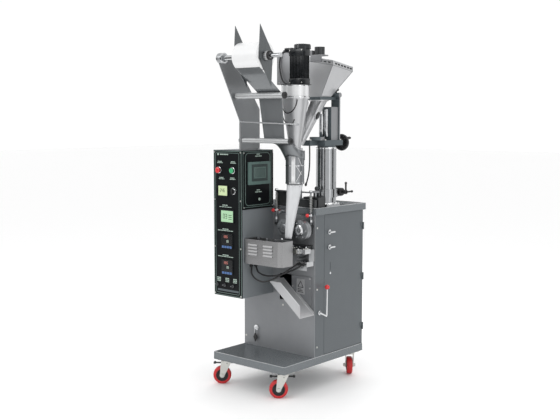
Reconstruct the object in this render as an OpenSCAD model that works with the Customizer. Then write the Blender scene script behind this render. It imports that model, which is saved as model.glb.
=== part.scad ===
// Vertical form fill sealer for small powder sachets, on four swivel casters.
// Millimetres. +Z is up, the operator's front faces -Y, the floor is Z = 0.
// Inside the modules, positions are measured from the plinth's front left corner;
// place() moves the whole machine so that its origin is the centre of its footprint.

/* [Cabinet] */
// Width of the plinth and of the cabinet
base_w = 462; // [440:1:600]
// Depth of the plinth
base_d = 624; // [580:1:800]
// Length of the open deck in front of the cabinet
deck_d = 226; // [216:1:260]
// Height of the folded plinth tray
plinth_h = 38; // [28:1:60]
// Height of the cabinet between the plinth and the lid
cabinet_h = 696; // [640:1:900]
// Height of the lid
lid_h = 35; // [24:1:50]
// Overhang of the lid at the sides and at the back
lid_over = 8; // [4:1:14]
// Thickness of the folded sheet
sheet = 3; // [2:0.5:3.5]

/* [Casters] */
// Diameter of a caster wheel
wheel_d = 90; // [80:1:104]
// Width of a caster wheel
wheel_w = 30; // [24:1:36]
// Height from the floor to the plinth
caster_h = 128; // [122:1:150]
// Offset from the swivel axis to the axle
caster_trail = 25; // [18:1:30]

/* [Control box] */
// Width of the control box
ctrl_w = 188; // [184:1:192]
// Height of the control box
ctrl_h = 715; // [690:1:780]
// Depth of its underside below the top of the lid
ctrl_drop = 440; // [411:1:451]
// Thickness of the fascia plates
fascia_t = 3; // [2:0.5:5]

/* [Film path] */
// Width of the film
film_w = 146; // [120:1:160]
// Diameter of the film roll
roll_d = 126; // [80:1:140]
// Diameter of the reel shaft
reel_shaft_d = 24; // [18:0.5:28]
// Diameter of the upper guide roller
upper_roller_d = 29; // [24:0.5:32]
// Diameter of the lower guide roller
lower_roller_d = 24; // [20:0.5:28]
// Outer diameter of the forming tube
former_d = 89; // [80:1:96]
// Diameter of a draw-off seal roller
seal_d = 96; // [80:1:98]

/* [Filler] */
// Diameter of the filler bowl at its top
bowl_d = 129; // [110:1:140]
// Outer diameter of the auger tube
auger_tube_d = 42; // [34:1:46]
// Diameter of the lifting column
column_d = 99; // [80:1:110]
// Height of the lifting column above the lid
column_h = 288; // [270:1:300]
// Travel of the filler head on its column
lift_travel = 60; // [40:1:80]
// Side of the hopper at its slanted rim
hopper_w = 160; // [140:1:164]

/* [Fits] */
// Gap between a shaft and its bore, on the radius
run_gap = 0.08; // [0.05:0.01:0.1]
// Gap between moving faces
face_gap = 0.5; // [0.3:0.1:1]
// Gap around the door
door_gap = 2; // [1.5:0.5:3]

/* [Hidden] */

$fn = 48;

// --- levels and main planes ---
cab_z = caster_h + plinth_h;
cab_top = cab_z + cabinet_h;
lid_top = cab_top + lid_h;
cab_y = deck_d;
side_x = base_w;

// --- control box ---
ctrl_x = 8;
ctrl_y = fascia_t;
ctrl_z = lid_top - ctrl_drop;
ctrl_top = ctrl_z + ctrl_h;
ctrl_right = ctrl_x + ctrl_w;
hmi_z = ctrl_z + 431;
hmi_h = ctrl_top - hmi_z;

// --- film path: y and z of each axis, x of the film's middle ---
film_x = ctrl_right + 192;
film_t = 0.8;
cheek_x = ctrl_right - 18;
cheek_t = 4;
reel_y = -127;
reel_z = ctrl_top + 428;
upper_y = -26;
upper_z = ctrl_top + 257;
lower_y = 16;
lower_z = ctrl_top + 49;
guide_rod_r = 5;
roller_l = film_w + 40;
reel_end_x = film_x + 164;
flange_half_l = 141;
flange_half_w = 48;
flange_tilt = 15;
flange_t = 2.5;
core_d = 44;
journal_l = 60;
journal_d = 20;

// --- former, auger and seal rollers ---
fill_y = 165;
former_top = ctrl_top - 22;
former_h = 135;
former_t = 1.5;
tube_top_r = 39;
tube_low_x = film_x - 2;
tube_low_y = 118;
nip_x = film_x - 8;
nip_gap = 1.6;
seal_y = 152;
seal_w = 30;
seal_z = lid_top - 102;
shaft_r = 7;
cross_off = nip_gap / 2 + seal_d / 2;
cross_z = seal_z - seal_d / 2 - cross_off - 1;
pulley_r = 26;

// --- filler head ---
neck_z = ctrl_top + 6;
bowl_z = ctrl_top + 248;
drum_h = 60;
motor_x = film_x + 17;
motor_y = fill_y + 12;
motor_z = bowl_z + drum_h + 4;
hopper_low_w = 78;
hopper_y = fill_y + 186;
hopper_z = bowl_z + 8;
hopper_shift = [20, 54];
hopper_top = [hopper_z + 197, hopper_z + 172, hopper_z + 147, hopper_z + 172];
feed_d = 80;

// --- lifting column ---
column_x = film_x + 29;
column_y = fill_y + 205;
column_top = lid_top + column_h;
post_w = 56;
arm_z = column_top + 8;
arm_t = 26;
wheel_y = column_y + 106;

// --- side door ---
door_y0 = cab_y + 75;
door_y1 = base_d - 9;
door_z0 = cab_z + 5;
door_z1 = cab_top - 3;
hinge_x = side_x + 4;
hinge_y = door_y1 + 3;
hinge_r = 4;

// --- casters ---
caster_in_x = 44;
caster_in_y = 50;
front_yaw = 220.8;
rear_yaw = front_yaw - 90;
swivel_x = [caster_in_x, base_w - caster_in_x, caster_in_x, base_w - caster_in_x];
swivel_y = [caster_in_y, caster_in_y, base_d - caster_in_y, base_d - caster_in_y];
swivel_yaw = [front_yaw, front_yaw, rear_yaw, rear_yaw];
axle_z = wheel_d / 2;
axle_r = 6;
kingpin_r = 5;
fork_top = caster_h - 10 - face_gap;
fork_t = 6;
leg_t = 3;
leg_y = wheel_w / 2 + 3;

// --- footprint used for the origin ---
tyre_edge = 6;
wheel_reach = (wheel_d / 2 - tyre_edge) * abs(cos(front_yaw))
  + (wheel_w / 2 - tyre_edge) * abs(sin(front_yaw)) + tyre_edge;
x_low = caster_in_x + caster_trail * cos(front_yaw) - wheel_reach;
x_high = reel_end_x;
y_low = reel_y - roll_d / 2;
y_high = base_d - caster_in_y + caster_trail * sin(rear_yaw) + wheel_reach;

// --- controls on the box ---
stop_x = 47;
start_x = 138;
button_z = ctrl_z + 618;
button_r = 6;
button_travel = 5;
selector_x = 142;
selector_z = ctrl_z + 517;
selector_r = 5;
toggle_x = [30, 80, 135];
toggle_z = ctrl_z + 54;
toggle_r = 3;

// --- film between the roll and the shoulder, in the YZ plane ---
web_gap = 0.4 + film_t / 2;
reel_off = roll_d / 2 + web_gap;
upper_off = upper_roller_d / 2 + web_gap;
lower_off = lower_roller_d / 2 + web_gap;
run_angle = -atan2(reel_z - upper_z, upper_y - reel_y)
  + asin((reel_off + upper_off) / norm([reel_z - upper_z, upper_y - reel_y]));
web_start = [reel_y, reel_z] + reel_off * [sin(run_angle), -cos(run_angle)];
web_low = [lower_y + lower_off, lower_z];
collar_top = [lower_y + 34, lower_z - 12];

// --- bridge over the sealing rollers, lead block ---
cable_z = cross_z - 67;
bridge_x = [nip_x - 150, nip_x + 66];
bridge_y = cab_y - 12;
bridge_top = lid_top + 78;
lever_pin_r = 4;

// --- louvered cover ---
cover_y0 = 15;
cover_y1 = 99;
cover_z0 = ctrl_z + 173;
cover_h = 120;
cover_t = 2;
cover_x1 = ctrl_right + 234;
cover_cham = 22;

// --- chute and the opening behind it ---
chute_x0 = nip_x - 112;
chute_z1 = ctrl_z + 82;
chute_y0 = cab_y - 112;
chute_wall = 60;
chute_t = 2;
chute_slope = 0.83;
inspection_x = 84;
recess_x0 = nip_x - 140;
recess_x1 = nip_x - 62;
recess_z0 = ctrl_z - 28;
recess_z1 = ctrl_z + 104;

// --- lift, crank and stirrer drive ---
housing_x1 = side_x - 6;
crank_y = column_y + 76;
crank_z = lid_top + 66;
stem_r = 30;
stem_l = 150;
bore_depth = 180;
plate_y = column_y + 58;
feed_y = fill_y + 180;
stirrer_top = max(hopper_top) + 6;

// --- door furniture, lever, lock and gland ---
hinge_z = [door_z0 + 70, door_z0 + 330, door_z0 + 590];
latch_y = door_y0 + 36;
latch_z = [door_z0 + 602, door_z0 + 528];
latch_r = 8;
latch_cam_x = side_x - sheet - 16;
lever_y = cab_y + 33;
lever_z = cab_z + 218;
lever_foot = [side_x + 26, lever_y + 29.5, lever_z - 18];
lever_ball = [side_x + 28, lever_y + 29.5, lever_z + 126];
lock_x = 86;
lock_z = cab_z + 95;
lock_r = 9;
gland_x = 96;
gland_z = cab_z + 96;
gland_r = 10;
gland_bore_r = 5;

// --- brake pedals ---
pedal_z = fork_top - fork_t - 5.5;
pedal_pin_r = 2;

// --- heater leads ---
loop_a = [[196.4, 60, 614], [202, 60, 613], [206, 57, 604], [214, 48, 578], [240, 44, 556],
  [286, 44, 546], [334, 54, 558], [372, 84, 584], [398, 124, 612], [408, 150, 626],
  [410, 169.8, 630]];
loop_b = [[196.4, 92, 612], [202, 92, 611], [208, 90, 600], [222, 88, 580], [262, 88, 568],
  [312, 92, 570], [362, 104, 584], [408, 128, 604], [436, 150, 624], [440, 169.8, 630]];

// Moves a piece from plinth coordinates to the centre of the footprint.
module place() {
  translate([-(x_low + x_high) / 2, -(y_low + y_high) / 2, 0]) children();
}

// Cylinder from a point along +X, +Y or +Z.
module rod_x(p, l, r) {
  translate(p) rotate([0, 90, 0]) cylinder(r = r, h = l);
}

module rod_y(p, l, r) {
  translate(p) rotate([-90, 0, 0]) cylinder(r = r, h = l);
}

module rod_z(p, l, r) {
  translate(p) cylinder(r = r, h = l);
}

// Round bar between two points.
module bar(a, b, r) {
  d = b - a;
  l = norm(d);
  translate(a) rotate([0, acos(d[2] / l), atan2(d[1], d[0])]) cylinder(r = r, h = l);
}

module box(a, b) {
  translate(a) cube(b - a);
}

// Rectangle with round corners, lower left corner at the origin.
module round_rect(w, h, r) {
  translate([r, 0]) square([w - 2 * r, h]);
  translate([0, r]) square([w, h - 2 * r]);
  for (x = [r, w - r], y = [r, h - r]) translate([x, y]) circle(r);
}

// Extrudes a drawing in the YZ plane along +X, starting at x.
module yz_plate(x, t) {
  translate([x, 0, 0]) rotate([90, 0, 90]) linear_extrude(t) children();
}

// Extrudes a drawing in the XZ plane along +Y, starting at y.
module xz_plate(y, t) {
  translate([0, y + t, 0]) rotate([90, 0, 0]) linear_extrude(t) children();
}

// ---------- base ----------

// Folded tray with a return flange that the casters bolt to.
module plinth() {
  flange = 106;
  place() color("slategray") difference() {
    box([0, 0, caster_h], [base_w, base_d, cab_z]);
    box([sheet, sheet, caster_h + sheet], [base_w - sheet, base_d - sheet, cab_z - sheet]);
    box([flange, flange, caster_h - 1], [base_w - flange, base_d - flange, caster_h + sheet + 1]);
  }
}

// Top plates, ball races and kingpins of the four casters.
module caster_mounts() {
  plate_w = 76;
  place() color("silver") for (i = [0:3]) translate([swivel_x[i], swivel_y[i], 0]) {
    difference() {
      translate([-plate_w / 2, -plate_w / 2, caster_h - 4]) cube([plate_w, plate_w, 4]);
      for (sx = [-1, 1], sy = [-1, 1]) {
        rod_z([sx * 29, sy * 29, caster_h - 5], 6, 4.2);
      }
    }
    rod_z([0, 0, caster_h - 10], 6, 22);
    rod_z([0, 0, fork_top - fork_t - 3], 13, kingpin_r);
    rod_z([0, 0, fork_top - fork_t - 3], 3 - face_gap, 8);
  }
}

// Pressed fork with its axle, hung under the kingpin.
module fork(i) {
  place() color("gainsboro") translate([swivel_x[i], swivel_y[i], 0]) rotate([0, 0, swivel_yaw[i]]) {
    difference() {
      union() {
        rod_z([0, 0, fork_top - fork_t], fork_t, 25);
        translate([-20, -leg_y - leg_t, fork_top - fork_t])
          cube([46, 2 * (leg_y + leg_t), fork_t]);
        for (s = [-leg_y - leg_t, leg_y]) xz_plate(s, leg_t) {
          polygon([[-24, fork_top], [30, fork_top], [caster_trail + 12, axle_z],
            [caster_trail - 12, axle_z]]);
          translate([caster_trail, axle_z]) circle(12);
        }
      }
      rod_z([0, 0, fork_top - fork_t - 1], fork_t + 2, kingpin_r + run_gap);
      rod_y([0, -leg_y - leg_t - 1, pedal_z], 2 * (leg_y + leg_t) + 2, pedal_pin_r + run_gap);
    }
    rod_y([caster_trail, -leg_y - leg_t - 5, axle_z], 2 * (leg_y + leg_t + 5), axle_r);
    for (s = [-leg_y - leg_t - 6, leg_y + leg_t]) rod_y([caster_trail, s, axle_z], 6, 9);
  }
}

// Tyre and hub of one caster wheel.
module wheel(i) {
  rim_r = wheel_d / 2 - 14;
  place() color("firebrick") translate([swivel_x[i], swivel_y[i], 0])
    rotate([0, 0, swivel_yaw[i]]) translate([caster_trail, 0, axle_z]) rotate([90, 0, 0]) {
      rotate_extrude() translate([rim_r, 0]) {
        translate([0, -wheel_w / 2]) square([8, wheel_w]);
        translate([0, -wheel_w / 2 + tyre_edge]) square([14, wheel_w - 2 * tyre_edge]);
        for (s = [-1, 1]) translate([8, s * (wheel_w / 2 - tyre_edge)]) circle(tyre_edge);
      }
      rotate_extrude() difference() {
        translate([axle_r + run_gap, -wheel_w / 2]) square([rim_r - axle_r - run_gap, wheel_w]);
        for (s = [-1, 1]) translate([15, s * wheel_w / 2 - 4]) square([rim_r - 21, 8]);
      }
    }
}

// Rocking brake pedal with a tread at both ends.
module pedal(i) {
  pedal_w = wheel_w - 10;
  place() color("black") translate([swivel_x[i], swivel_y[i], 0]) rotate([0, 0, swivel_yaw[i]]) {
    translate([-44, -pedal_w / 2, pedal_z - 2]) cube([104, pedal_w, 3.2]);
    rod_y([0, -leg_y - leg_t - 2, pedal_z], 2 * (leg_y + leg_t + 2), pedal_pin_r);
    translate([-54, -leg_y + 3, pedal_z - 3]) cube([12, 2 * leg_y - 6, 6]);
    translate([56, -leg_y + 3, pedal_z - 3]) cube([12, 2 * leg_y - 6, 6]);
  }
}

module caster_fork_front_left() { fork(0); }
module caster_fork_front_right() { fork(1); }
module caster_fork_rear_left() { fork(2); }
module caster_fork_rear_right() { fork(3); }
module caster_wheel_front_left() { wheel(0); }
module caster_wheel_front_right() { wheel(1); }
module caster_wheel_rear_left() { wheel(2); }
module caster_wheel_rear_right() { wheel(3); }
module brake_pedal_front_left() { pedal(0); }
module brake_pedal_front_right() { pedal(1); }

// ---------- cabinet ----------

// Left and rear sheets, the strip and rails around the door, and the corner post.
module cabinet_panels() {
  inner_x = side_x - sheet;
  rail = 12;
  place() color("dimgray") {
    box([0, cab_y + sheet, cab_z], [sheet, base_d, cab_top]);
    difference() {
      box([sheet, base_d - sheet, cab_z], [inner_x - rail, base_d, cab_top]);
      rod_y([gland_x, base_d - sheet - 1, gland_z], sheet + 2, gland_r);
      for (i = [0:7]) box([130, base_d - sheet - 1, cab_top - 220 + 18 * i],
        [330, base_d + 1, cab_top - 214 + 18 * i]);
    }
    difference() {
      box([inner_x, cab_y + sheet, cab_z], [side_x, door_y0 - door_gap, cab_top]);
      rod_x([inner_x - 1, lever_y, lever_z], sheet + 2, 6 + run_gap);
    }
    box([inner_x - rail, door_y0 - door_gap - 12, cab_z], [inner_x, door_y0 + 8, cab_top]);
    box([inner_x - rail, base_d - 24, cab_z], [inner_x - face_gap, base_d, cab_top]);
    box([inner_x - rail, door_y0 + 8, cab_z], [inner_x - face_gap, base_d - 24, cab_z + rail]);
    box([inner_x - rail, door_y0 + 8, cab_top - rail],
      [inner_x - face_gap, base_d - 24, cab_top]);
    // knuckles of the door hinge that stay on the post, with their pins
    for (z = hinge_z) {
      difference() {
        union() {
          rod_z([hinge_x, hinge_y, z], 18, hinge_r);
          box([inner_x - 4, hinge_y + 1, z], [hinge_x, hinge_y + 4, z + 18]);
        }
      }
      rod_z([hinge_x, hinge_y, z + 17], 20, 2);
    }
  }
}

// Full height front sheet with the shaft holes, the reject opening and the lock hole.
module front_panel() {
  place() color("lightslategray") difference() {
    box([0, cab_y, cab_z], [base_w, cab_y + sheet, cab_top]);
    for (s = [-1, 1]) {
      rod_y([nip_x + s * cross_off, cab_y - 1, seal_z], sheet + 2, shaft_r + 3);
      rod_y([nip_x + s * cross_off, cab_y - 1, cross_z], sheet + 2, shaft_r + 3);
    }
    box([recess_x0, cab_y - 1, recess_z0], [recess_x1, cab_y + sheet + 1, recess_z1]);
    rod_y([lock_x, cab_y - 1, lock_z], sheet + 2, lock_r + run_gap);
  }
}

// Closed worktop tray.
module lid() {
  place() color("slategray") difference() {
    box([-lid_over, cab_y, cab_top], [base_w + lid_over, base_d + lid_over, lid_top]);
    box([-lid_over + sheet, cab_y + sheet, cab_top + sheet],
      [base_w + lid_over - sheet, base_d + lid_over - sheet, lid_top - sheet]);
  }
}

// Hinged door with a return edge, latch holes and its moving hinge knuckles.
module side_door() {
  inner_x = side_x - sheet;
  place() color("dimgray") difference() {
    union() {
      box([inner_x, door_y0, door_z0], [side_x, door_y1, door_z1]);
      for (z = hinge_z) {
        rod_z([hinge_x, hinge_y, z + 18 + face_gap], 18, hinge_r);
        box([side_x - 1, door_y1 - 14, z + 18 + face_gap],
          [side_x + 2, hinge_y + 1, z + 36 + face_gap]);
        box([side_x - 1, hinge_y - 1, z + 18 + face_gap],
          [hinge_x, hinge_y + 1, z + 36 + face_gap]);
      }
    }
    for (z = latch_z) rod_x([inner_x - 1, latch_y, z], sheet + 2, latch_r + run_gap);
    for (z = hinge_z) rod_z([hinge_x, hinge_y, z + 17], 22, 2 + run_gap);
    box([inner_x - 1, door_y0 + 46, door_z0 + 412], [side_x + 1, door_y0 + 49, door_z0 + 452]);
  }
}

// Quarter turn latch with a tee handle outside and a cam inside.
module latch(z) {
  place() color("silver") {
    rod_x([latch_cam_x, latch_y, z], side_x + 6 - latch_cam_x, latch_r);
    rod_x([side_x + face_gap, latch_y, z], 5, 12);
    rod_x([side_x + 5, latch_y, z], 12, 5);
    rod_y([side_x + 17, latch_y - 16, z], 40, 4.5);
    box([latch_cam_x, latch_y - 26, z - 6], [latch_cam_x + 3.5, latch_y, z + 6]);
  }
}

module upper_latch() { latch(latch_z[0]); }
module lower_latch() { latch(latch_z[1]); }

// Side lever that engages the clutch: pivot shaft, arm, upright and ball.
module clutch_lever() {
  place() color("firebrick") {
    rod_x([side_x - 40, lever_y, lever_z], 48, 6);
    rod_x([side_x + face_gap, lever_y, lever_z], 6, 11);
    bar([side_x + 8, lever_y, lever_z], lever_foot, 4.5);
    bar(lever_foot, lever_ball, 3.5);
    translate(lever_ball) sphere(r = 12);
  }
}

// Cylinder lock in the front sheet with its hanging key and fob.
module panel_lock() {
  place() color("silver") {
    rod_y([lock_x, cab_y - 8, lock_z], sheet + 18, lock_r);
    rod_y([lock_x, cab_y - 6, lock_z], 6 - face_gap, 14);
    box([lock_x - 5, cab_y + sheet + face_gap, lock_z - 5], [lock_x + 30, cab_y + 8, lock_z + 5]);
    box([lock_x - 1, cab_y - 18, lock_z - 26], [lock_x + 1, cab_y - 7, lock_z + 4]);
    xz_plate(cab_y - 14, 4) polygon([[lock_x, lock_z - 24], [lock_x + 13, lock_z - 48],
      [lock_x, lock_z - 72], [lock_x - 13, lock_z - 48]]);
  }
}

// ---------- control box ----------

// Sheet box that carries the two fascias.
module control_box() {
  place() color("dimgray") difference() {
    box([ctrl_x, ctrl_y, ctrl_z], [ctrl_right, cab_y, ctrl_top]);
    box([ctrl_x + sheet, ctrl_y + sheet, ctrl_z + sheet],
      [ctrl_right - sheet, cab_y - sheet, ctrl_top - sheet]);
    for (x = [stop_x, start_x]) rod_y([x, ctrl_y - 1, button_z], sheet + 2, button_r + 1);
    rod_y([selector_x, ctrl_y - 1, selector_z], sheet + 2, selector_r + 1);
  }
}

// Front fascia and the operator panel on the box's right side.
module control_fascias() {
  place() color("black") {
    difference() {
      box([ctrl_x, 0, ctrl_z], [ctrl_right, fascia_t, ctrl_top]);
      for (x = [stop_x, start_x]) rod_y([x, -1, button_z], fascia_t + 2, button_r + 1);
      rod_y([selector_x, -1, selector_z], fascia_t + 2, selector_r + 1);
      for (x = toggle_x) rod_y([x, -1, toggle_z], fascia_t + 2, toggle_r + 3);
    }
    yz_plate(ctrl_right, fascia_t) difference() {
      translate([0, hmi_z]) square([cab_y - 2, hmi_h]);
      translate([cab_y - 2 - 22, hmi_z + hmi_h - 22]) difference() {
        square([23, 23]);
        circle(22);
      }
    }
  }
}

// A panel-mounted meter: bezel proud of the fascia.
module meter(x0, x1, z0, z1, proud) {
  translate([x0, -proud, z0]) translate([0, proud, 0]) rotate([90, 0, 0])
    linear_extrude(proud) round_rect(x1 - x0, z1 - z0, 3);
}

// Displays, temperature controllers, operator screen and the collars of the controls.
module panel_instruments() {
  place() color("palegreen") {
    meter(40, 106, ctrl_z + 491, ctrl_z + 546, 4);
    meter(56, 145, ctrl_z + 361, ctrl_z + 428, 4);
    meter(62, 136, ctrl_z + 236, ctrl_z + 310, 5);
    meter(62, 136, ctrl_z + 108, ctrl_z + 182, 5);
    translate([ctrl_right + fascia_t, 38, hmi_z + 118]) cube([5, 160, 110]);
    rod_x([ctrl_right + fascia_t, 115, hmi_z + 46], 6, 8);
    for (x = [stop_x, start_x]) difference() {
      rod_y([x, -5, button_z], 5, 15);
      rod_y([x, -6, button_z], 7, button_r + run_gap);
    }
    difference() {
      rod_y([selector_x, -4, selector_z], 4, 14);
      rod_y([selector_x, -5, selector_z], 6, selector_r + run_gap);
    }
    for (x = toggle_x) difference() {
      rod_y([x, -4, toggle_z], 4, 7);
      translate([x - 2.6, -5, toggle_z - 5.5]) cube([5.2, 6, 11]);
    }
  }
}

// Mushroom head with its plunger.
module stop_button() {
  place() color("red") {
    rod_y([stop_x, -5 - button_travel - 7 - face_gap, button_z], 7, 15);
    rod_y([stop_x, -5 - button_travel - 1, button_z], button_travel + 5 + fascia_t, button_r);
  }
}

module start_button() {
  place() color("mediumseagreen") {
    rod_y([start_x, -5 - button_travel - 4 - face_gap, button_z], 4, 13);
    rod_y([start_x, -5 - button_travel - 1, button_z], button_travel + 5 + fascia_t, button_r);
  }
}

// Rotary selector with a grip bar.
module selector_knob() {
  place() color("black") {
    rod_y([selector_x, -9, selector_z], 9 - 4 - face_gap, 12);
    box([selector_x - 3, -16, selector_z - 12], [selector_x + 3, -8, selector_z + 12]);
    rod_y([selector_x, -8, selector_z], 8 + fascia_t - face_gap, selector_r);
  }
}

// Bat lever of a toggle switch with its pivot ball behind the fascia face.
module toggle(x) {
  place() color("silver") {
    bar([x, 0, toggle_z], [x, -16, toggle_z + 2], 2.2);
    translate([x, -16, toggle_z + 2]) sphere(r = 2.8);
    rod_x([x - 2.4, 0, toggle_z], 4.8, 2.2);
  }
}

module left_toggle() { toggle(toggle_x[0]); }
module middle_toggle() { toggle(toggle_x[1]); }
module right_toggle() { toggle(toggle_x[2]); }

// ---------- film path ----------

// Cheek plate on the control box with the reel shaft and the two roller rods.
module film_frame() {
  boss_r = 24;
  place() color("silver") {
    difference() {
      union() {
        yz_plate(cheek_x, cheek_t) {
          polygon([[-143, ctrl_top + 423], [3, ctrl_top + 141], [3, ctrl_top], [144, ctrl_top],
            [144, ctrl_top + 197], [68, ctrl_top + 301], [-36, ctrl_top + 425],
            [reel_y, ctrl_top + 452]]);
          translate([reel_y, reel_z]) circle(boss_r);
        }
        // folded front edge and foot of the cheek
        box([cheek_x, 3, ctrl_top], [cheek_x + 12, 3 + sheet, ctrl_top + 141]);
        box([cheek_x, 3, ctrl_top], [cheek_x + 18, 144, ctrl_top + sheet]);
        rod_x([cheek_x, reel_y, reel_z], 32, boss_r);
      }
    }
    rod_x([cheek_x + 31, reel_y, reel_z], reel_end_x - journal_l - cheek_x - 31,
      reel_shaft_d / 2);
    rod_x([reel_end_x - journal_l - 1, reel_y, reel_z], journal_l + 1, journal_d / 2);
    rod_x([cheek_x - 10, upper_y, upper_z], film_x + roller_l / 2 - cheek_x + 20, guide_rod_r);
    rod_x([cheek_x - 10, lower_y, lower_z], film_x + roller_l / 2 - cheek_x + 20, guide_rod_r);
    for (p = [[upper_y, upper_z], [lower_y, lower_z]]) {
      rod_x([cheek_x - 8, p[0], p[1]], 7.5, 9);
      rod_x([film_x + roller_l / 2 + face_gap, p[0], p[1]], 9, 15);
    }
    bar([cheek_x + 2, 4, ctrl_top + 137], [reel_end_x - 12, 4, ctrl_top + 126], 3.5);
    box([cheek_x - 62, 80, ctrl_top], [cheek_x - 18, 130, ctrl_top + 16]);
  }
}

// Wound film on its core.
module film_roll() {
  place() color("white") translate([film_x - film_w / 2, reel_y, reel_z]) rotate([0, 90, 0])
    rotate_extrude($fn = 96) translate([core_d / 2, 0]) square([(roll_d - core_d) / 2, film_w]);
}

// Lozenge end plates, the core tube between them and the clamp collars.
module reel_flanges() {
  place() color("gray") for (s = [0, 1]) {
    x = s == 0 ? film_x - film_w / 2 - flange_t - face_gap : film_x + film_w / 2 + face_gap;
    difference() {
      union() {
        translate([0, reel_y, reel_z]) rotate([flange_tilt, 0, 0])
          yz_plate(x, flange_t) polygon([[0, flange_half_l], [-flange_half_w, 0],
            [0, -flange_half_l], [flange_half_w, 0]]);
        rod_x([s == 0 ? x - 18 : x + flange_t, reel_y, reel_z], 18, 21);
        if (s == 0) rod_x([x, reel_y, reel_z], film_w + 2 * (flange_t + face_gap), core_d / 2 - 0.3);
      }
      rod_x([x - 30, reel_y, reel_z], film_w + 100, reel_shaft_d / 2 + run_gap);
    }
  }
}

// Tube roller that runs on a fixed rod.
module guide_roller(y, z, d) {
  place() color("whitesmoke") difference() {
    rod_x([cheek_x + cheek_t + 10, y, z], film_x + roller_l / 2 - cheek_x - cheek_t - 10, d / 2);
    rod_x([cheek_x, y, z], film_x + roller_l, guide_rod_r + run_gap);
  }
}

module upper_roller() { guide_roller(upper_y, upper_z, upper_roller_d); }
module lower_roller() { guide_roller(lower_y, lower_z, lower_roller_d); }

// Thin plate seen edge-on between two points of the YZ plane.
module web_run(a, b) {
  d = b - a;
  n = [-d[1], d[0]] / norm(d) * film_t / 2;
  yz_plate(film_x - film_w / 2, film_w) polygon([a + n, b + n, b - n, a - n]);
}

// Film between the roll, the two rollers and the forming collar.
module film_web() {
  steps = 8;
  first = 90 + run_angle;
  arc = [for (i = [0:steps]) let (w = first * (1 - i / steps))
    [upper_y, upper_z] + upper_off / cos(first / steps / 2) * [cos(w), sin(w)]];
  route = concat([web_start], arc, [web_low, collar_top]);
  place() color("lightgray")
    for (i = [0:len(route) - 2]) web_run(route[i], route[i + 1]);
}

// Forming shoulder and the forming tube under it.
module forming_collar() {
  tube_r = former_d / 2;
  lip = collar_top + [1.5, 0];
  place() color("gainsboro") {
    difference() {
      rod_z([film_x, fill_y, former_top - former_h], former_h, tube_r);
      rod_z([film_x, fill_y, former_top - former_h - 1], former_h + 2, tube_r - former_t);
    }
    difference() {
      intersection() {
        yz_plate(film_x - film_w / 2, film_w) polygon([lip, [70, former_top + 34],
          [92, former_top + 24], [112, former_top + 6], [fill_y - tube_r + 3, former_top - 30],
          [fill_y - tube_r + 3, former_top - 36], [110, former_top], [90, former_top + 18],
          [68, former_top + 28], lip - [1.5, 5]]);
        translate([0, 0, former_top - 60]) linear_extrude(160)
          polygon([[film_x - film_w / 2, 30], [film_x + film_w / 2, 30],
            [film_x + 34, fill_y], [film_x - 34, fill_y]]);
      }
      rod_z([film_x, fill_y, former_top - 70], 200, tube_r - former_t);
    }
    // bracket from the former to the cabinet's top
    difference() {
      box([film_x - 60, fill_y + 10, former_top - former_h + 8],
        [film_x - 30, cab_y + 30, former_top - former_h + 14]);
      rod_z([film_x, fill_y, former_top - 200], 300, tube_r - former_t);
    }
    box([film_x - 60, cab_y + 24, lid_top], [film_x - 30, cab_y + 30, former_top - former_h + 14]);
  }
}

// Film sleeve that narrows from the former to the draw-off rollers.
module film_tube() {
  place() color("white") difference() {
    hull() {
      rod_z([film_x, fill_y, former_top - former_h - 6], 4, tube_top_r, $fn = 32);
      translate([tube_low_x, tube_low_y, cross_z + 60]) scale([1, 0.45, 1])
        cylinder(r = 20, h = 2, $fn = 32);
    }
    hull() {
      rod_z([film_x, fill_y, former_top - former_h - 6], 5, tube_top_r - 1.2, $fn = 32);
      translate([tube_low_x, tube_low_y, cross_z + 55]) scale([1, 0.4, 1])
        cylinder(r = 18.8, h = 2, $fn = 32);
    }
  }
}

// ---------- sealing station ----------

// Bearing block behind the rollers with the bridge that carries the pressure levers.
module seal_housing() {
  bx = cross_off + 20;
  hy = seal_y + seal_w + 6;
  place() color("dimgray") {
    difference() {
      union() {
        box([nip_x - bx, hy, seal_z - 22], [nip_x + bx, cab_y, seal_z + 22]);
        box([nip_x - bx, hy, cross_z - 20], [nip_x + bx, cab_y, cross_z + 20]);
      }
      for (s = [-1, 1], z = [seal_z, cross_z])
        rod_y([nip_x + s * cross_off, hy - 1, z], 100, shaft_r + run_gap);
    }
    // block that feeds the heater leads into the cross seal heads
    box([nip_x + 12, seal_y + 18, cable_z - 12], [nip_x + 78, cab_y, cable_z + 12]);
    // bridge rods, their brackets and the bar across their tops
    for (x = bridge_x) {
      rod_z([x, bridge_y, seal_z + 12], bridge_top - seal_z - 14, lever_pin_r);
      box([x - 8, bridge_y - 6, seal_z + 8], [x + 8, cab_y, seal_z + 20]);
    }
    box([bridge_x[0] - 8, bridge_y - 5, bridge_top - 6], [bridge_x[1] + 8, bridge_y + 5,
      bridge_top]);
  }
}

// Roller body, front cap and shaft of a draw-off roller.
module seal_roller(s) {
  x = nip_x + s * cross_off;
  place() color("silver") {
    rod_y([x, seal_y, seal_z], seal_w, seal_d / 2);
    rod_y([x, seal_y - 7, seal_z], 8, 26);
    rod_y([x, seal_y + seal_w - 1, seal_z], cab_y + 70 - seal_y - seal_w, shaft_r);
    // drive pulley behind the front sheet
    rod_y([x, cab_y + 36, seal_z], 12, pulley_r);
  }
}

module left_seal_roller() { seal_roller(-1); }
module right_seal_roller() { seal_roller(1); }

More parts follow.
